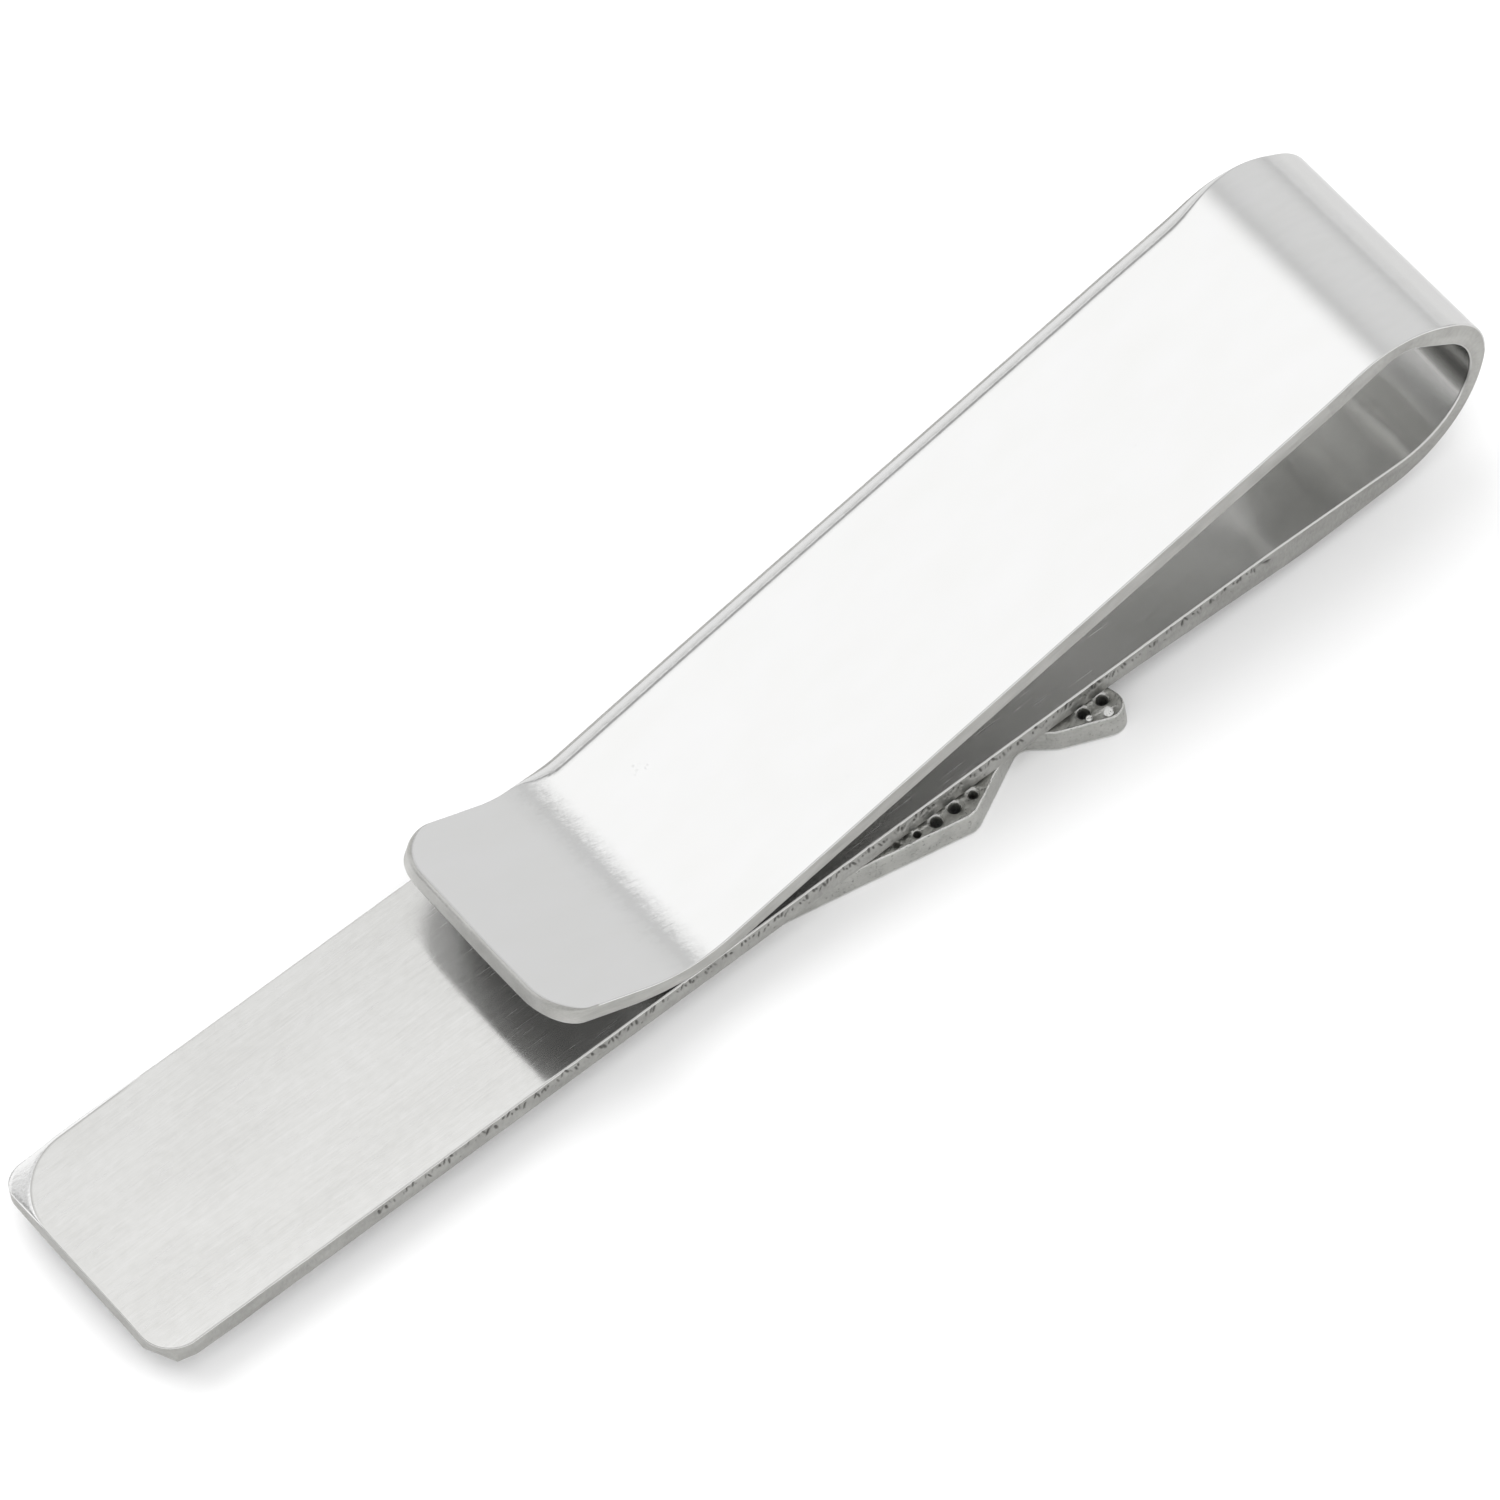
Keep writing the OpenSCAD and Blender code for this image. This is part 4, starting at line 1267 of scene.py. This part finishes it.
def gem(B, cx, cy, r, rot, tilt, tdir, m=0):
    """round brilliant, table down: girdle at z = 0.15"""
    zg = 0.15
    T = [(0.55 * r, 45 * i, zg - 0.40 * r) for i in range(8)]
    K = [(0.79 * r, 45 * i + 22.5, zg - 0.235 * r) for i in range(8)]
    G = [(r, 22.5 * i, zg - 0.05 * r) for i in range(16)]
    G2 = [(r, 22.5 * i, zg) for i in range(16)]
    L = [(0.42 * r, 45 * i + 22.5, zg + 0.50 * r) for i in range(8)]
    C = (0, 0, zg + 0.80 * r)
    tm = Matrix.Rotation(tilt, 3, Vector((math.cos(tdir), math.sin(tdir), 0)))

    def w(p):
        a = R2D(p[1]) + rot
        v = tm @ Vector((p[0] * math.cos(a), p[0] * math.sin(a), p[2] - zg))
        return (cx + v.x, cy + v.y, v.z + zg)
    t, k, g, g2, l = (B.add([w(p) for p in X]) for X in (T, K, G, G2, L))
    c = B.add([w(C)])[0]
    F = lambda f: B.face(f, m, False)
    F(t)
    for i in range(8):
        j = (i + 1) % 8
        F((t[i], t[j], k[i]))
        F((t[i], k[i - 1], g[2 * i], k[i]))
        F((k[i], g[2 * i], g[2 * i + 1]))
        F((k[i], g[2 * i + 1], g[(2 * i + 2) % 16]))
        F((c, l[i - 1], g2[2 * i], l[i]))
        F((l[i], g2[2 * i], g2[2 * i + 1]))
        F((l[i], g2[2 * i + 1], g2[(2 * i + 2) % 16]))
    for i in range(16):
        F((g[i], g[(i + 1) % 16], g2[(i + 1) % 16], g2[i]))


def gems(name, pts, sgn, r0, seed):
    B = Builder()
    rnd = random.Random(seed)
    for p in pts:
        c = P(p[0], sgn * p[1])
        r = min(r0, edge_dist(c, OV) - 0.135)
        gem(B, c[0] + XF, c[1], r, rnd.uniform(0, math.pi), R2D(rnd.uniform(0, 2.2)), rnd.uniform(0, 2 * math.pi))
    ob = B.mesh(name, ("crystal",))
    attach(ob, "clip_bar")
    return ob


for side, sgn in (("near", -1), ("far", 1)):
    for k in range(1, 6):
        g = gems(f"brilliants_{side}_{k}", full[k], sgn, STONE - 0.004, 100 * k + sgn)
        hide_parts(f"crystals_{side}_{k}")
    g = gems(f"small_brilliants_{side}", [p for k in range(1, 6) for p in small[k]], sgn, SMALL, 77 + sgn)
    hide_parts(f"small_crystals_{side}")

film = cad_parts["solder_film"]
film.data.materials.clear()
film.data.materials.append(MAT["solder"])

# ------------------------------------------------------------------ floor and light
fm_ = Mat("pale_floor")
fm_.set(Roughness=0.9, Specular_IOR_Level=0.1)
fm_.set(Base_Color=(0.93, 0.93, 0.93, 1))
me = bpy.data.meshes.new("floor")
Z0 = -0.00001
me.from_pydata([(-3, -3, Z0), (3, -3, Z0), (3, 3, Z0), (-3, 3, Z0)], [], [(0, 1, 2, 3)])
me.materials.append(fm_.m)
floor = bpy.data.objects.new("floor", me)
scene.collection.objects.link(floor)

world = bpy.data.worlds.new("studio")
scene.world = world
world.use_nodes = True
wn, wl = world.node_tree.nodes, world.node_tree.links
bg = wn["Background"]
tc = wn.new("ShaderNodeTexCoord")
sx = wn.new("ShaderNodeSeparateXYZ")
wl.new(tc.outputs["Generated"], sx.inputs[0])


def wrange(sock, a, b, c, d):
    x = wn.new("ShaderNodeMapRange")
    x.interpolation_type = "SMOOTHSTEP"
    for i, v in enumerate((a, b, c, d)):
        x.inputs[i + 1].default_value = v
    wl.new(sock, x.inputs[0])
    return x.outputs[0]


def wmath(op, a, b):
    x = wn.new("ShaderNodeMath")
    x.operation = op
    for i, v in enumerate((a, b)):
        if isinstance(v, (int, float)):
            x.inputs[i].default_value = v
        else:
            wl.new(v, x.inputs[i])
    return x.outputs[0]


# brightness by direction: overhead softbox, a gap, a pale card on the +X side, darker room on the -X side
turn = wmath("ARCTAN2", sx.outputs[0], sx.outputs[2])
place = wmath("ADD", wmath("DIVIDE", turn, 2 * math.pi), 0.5)
ring = wn.new("ShaderNodeValToRGB")
STOPS = [(-90, 0.85), (-68, 0.85), (-54, 0.26), (-36, 0.17), (-28, 0.48), (-19, 1.42), (8, 1.42), (14, 1.32), (20, 1.11), (25, 0.85),
         (29, 0.82), (38, 0.93), (48, 0.975), (71, 0.985), (76, 0.965), (81, 0.90), (87, 0.78), (91, 0.74)]
el = ring.color_ramp.elements
while len(el) < len(STOPS):
    el.new(0.5)
for e, (deg, val) in zip(el, STOPS):
    e.position = deg / 360 + 0.5
    e.color = (val / 1.5, val / 1.5, val / 1.5, 1)
wl.new(place, ring.inputs[0])
across = wmath("MULTIPLY", ring.outputs[0], 1.5)
# the softbox ends in Y: beyond it the room is an even pale grey
near_y = wrange(sx.outputs[1], -0.20, 0.22, 0.0, 1.0)
far_y = wrange(sx.outputs[1], 0.60, 0.70, 1.0, 0.0)
inside_y = wmath("MULTIPLY", near_y, far_y)
room_n = wmath("ADD", 0.80, wmath("MULTIPLY", wrange(sx.outputs[2], 0.2, 1.0, 0.0, 1.0), 0.15))
# behind the softbox a dark gap, then a pale back card
back_l = wrange(sx.outputs[1], 0.77, 0.84, 0.62, 1.24)
is_back = wrange(sx.outputs[1], 0.50, 0.60, 0.0, 1.0)
room_l = wmath("ADD", wmath("MULTIPLY", room_n, wmath("SUBTRACT", 1.0, is_back)), wmath("MULTIPLY", back_l, is_back))
level = wmath("ADD", wmath("MULTIPLY", across, inside_y), wmath("MULTIPLY", room_l, wmath("SUBTRACT", 1.0, inside_y)))
wl.new(level, bg.inputs["Strength"])
bg.inputs["Color"].default_value = (1, 1, 1, 1)


def area(name, loc, target, size, power, glossy=True):
    l = bpy.data.lights.new(name, "AREA")
    l.shape = "SQUARE"
    l.size = size
    l.energy = power
    o = bpy.data.objects.new(name, l)
    o.location = loc
    d = Vector(target) - Vector(loc)
    o.rotation_euler = d.to_track_quat("-Z", "Y").to_euler()
    o.visible_glossy = glossy
    scene.collection.objects.link(o)
    return o


area("key_softbox", (-0.05, 0.42, 0.62), (0, 0, 0), 0.74, 2.52, glossy=False)
area("fill_softbox", (0.15, -0.45, 0.70), (0, 0, 0), 0.74, 2.35, glossy=False)
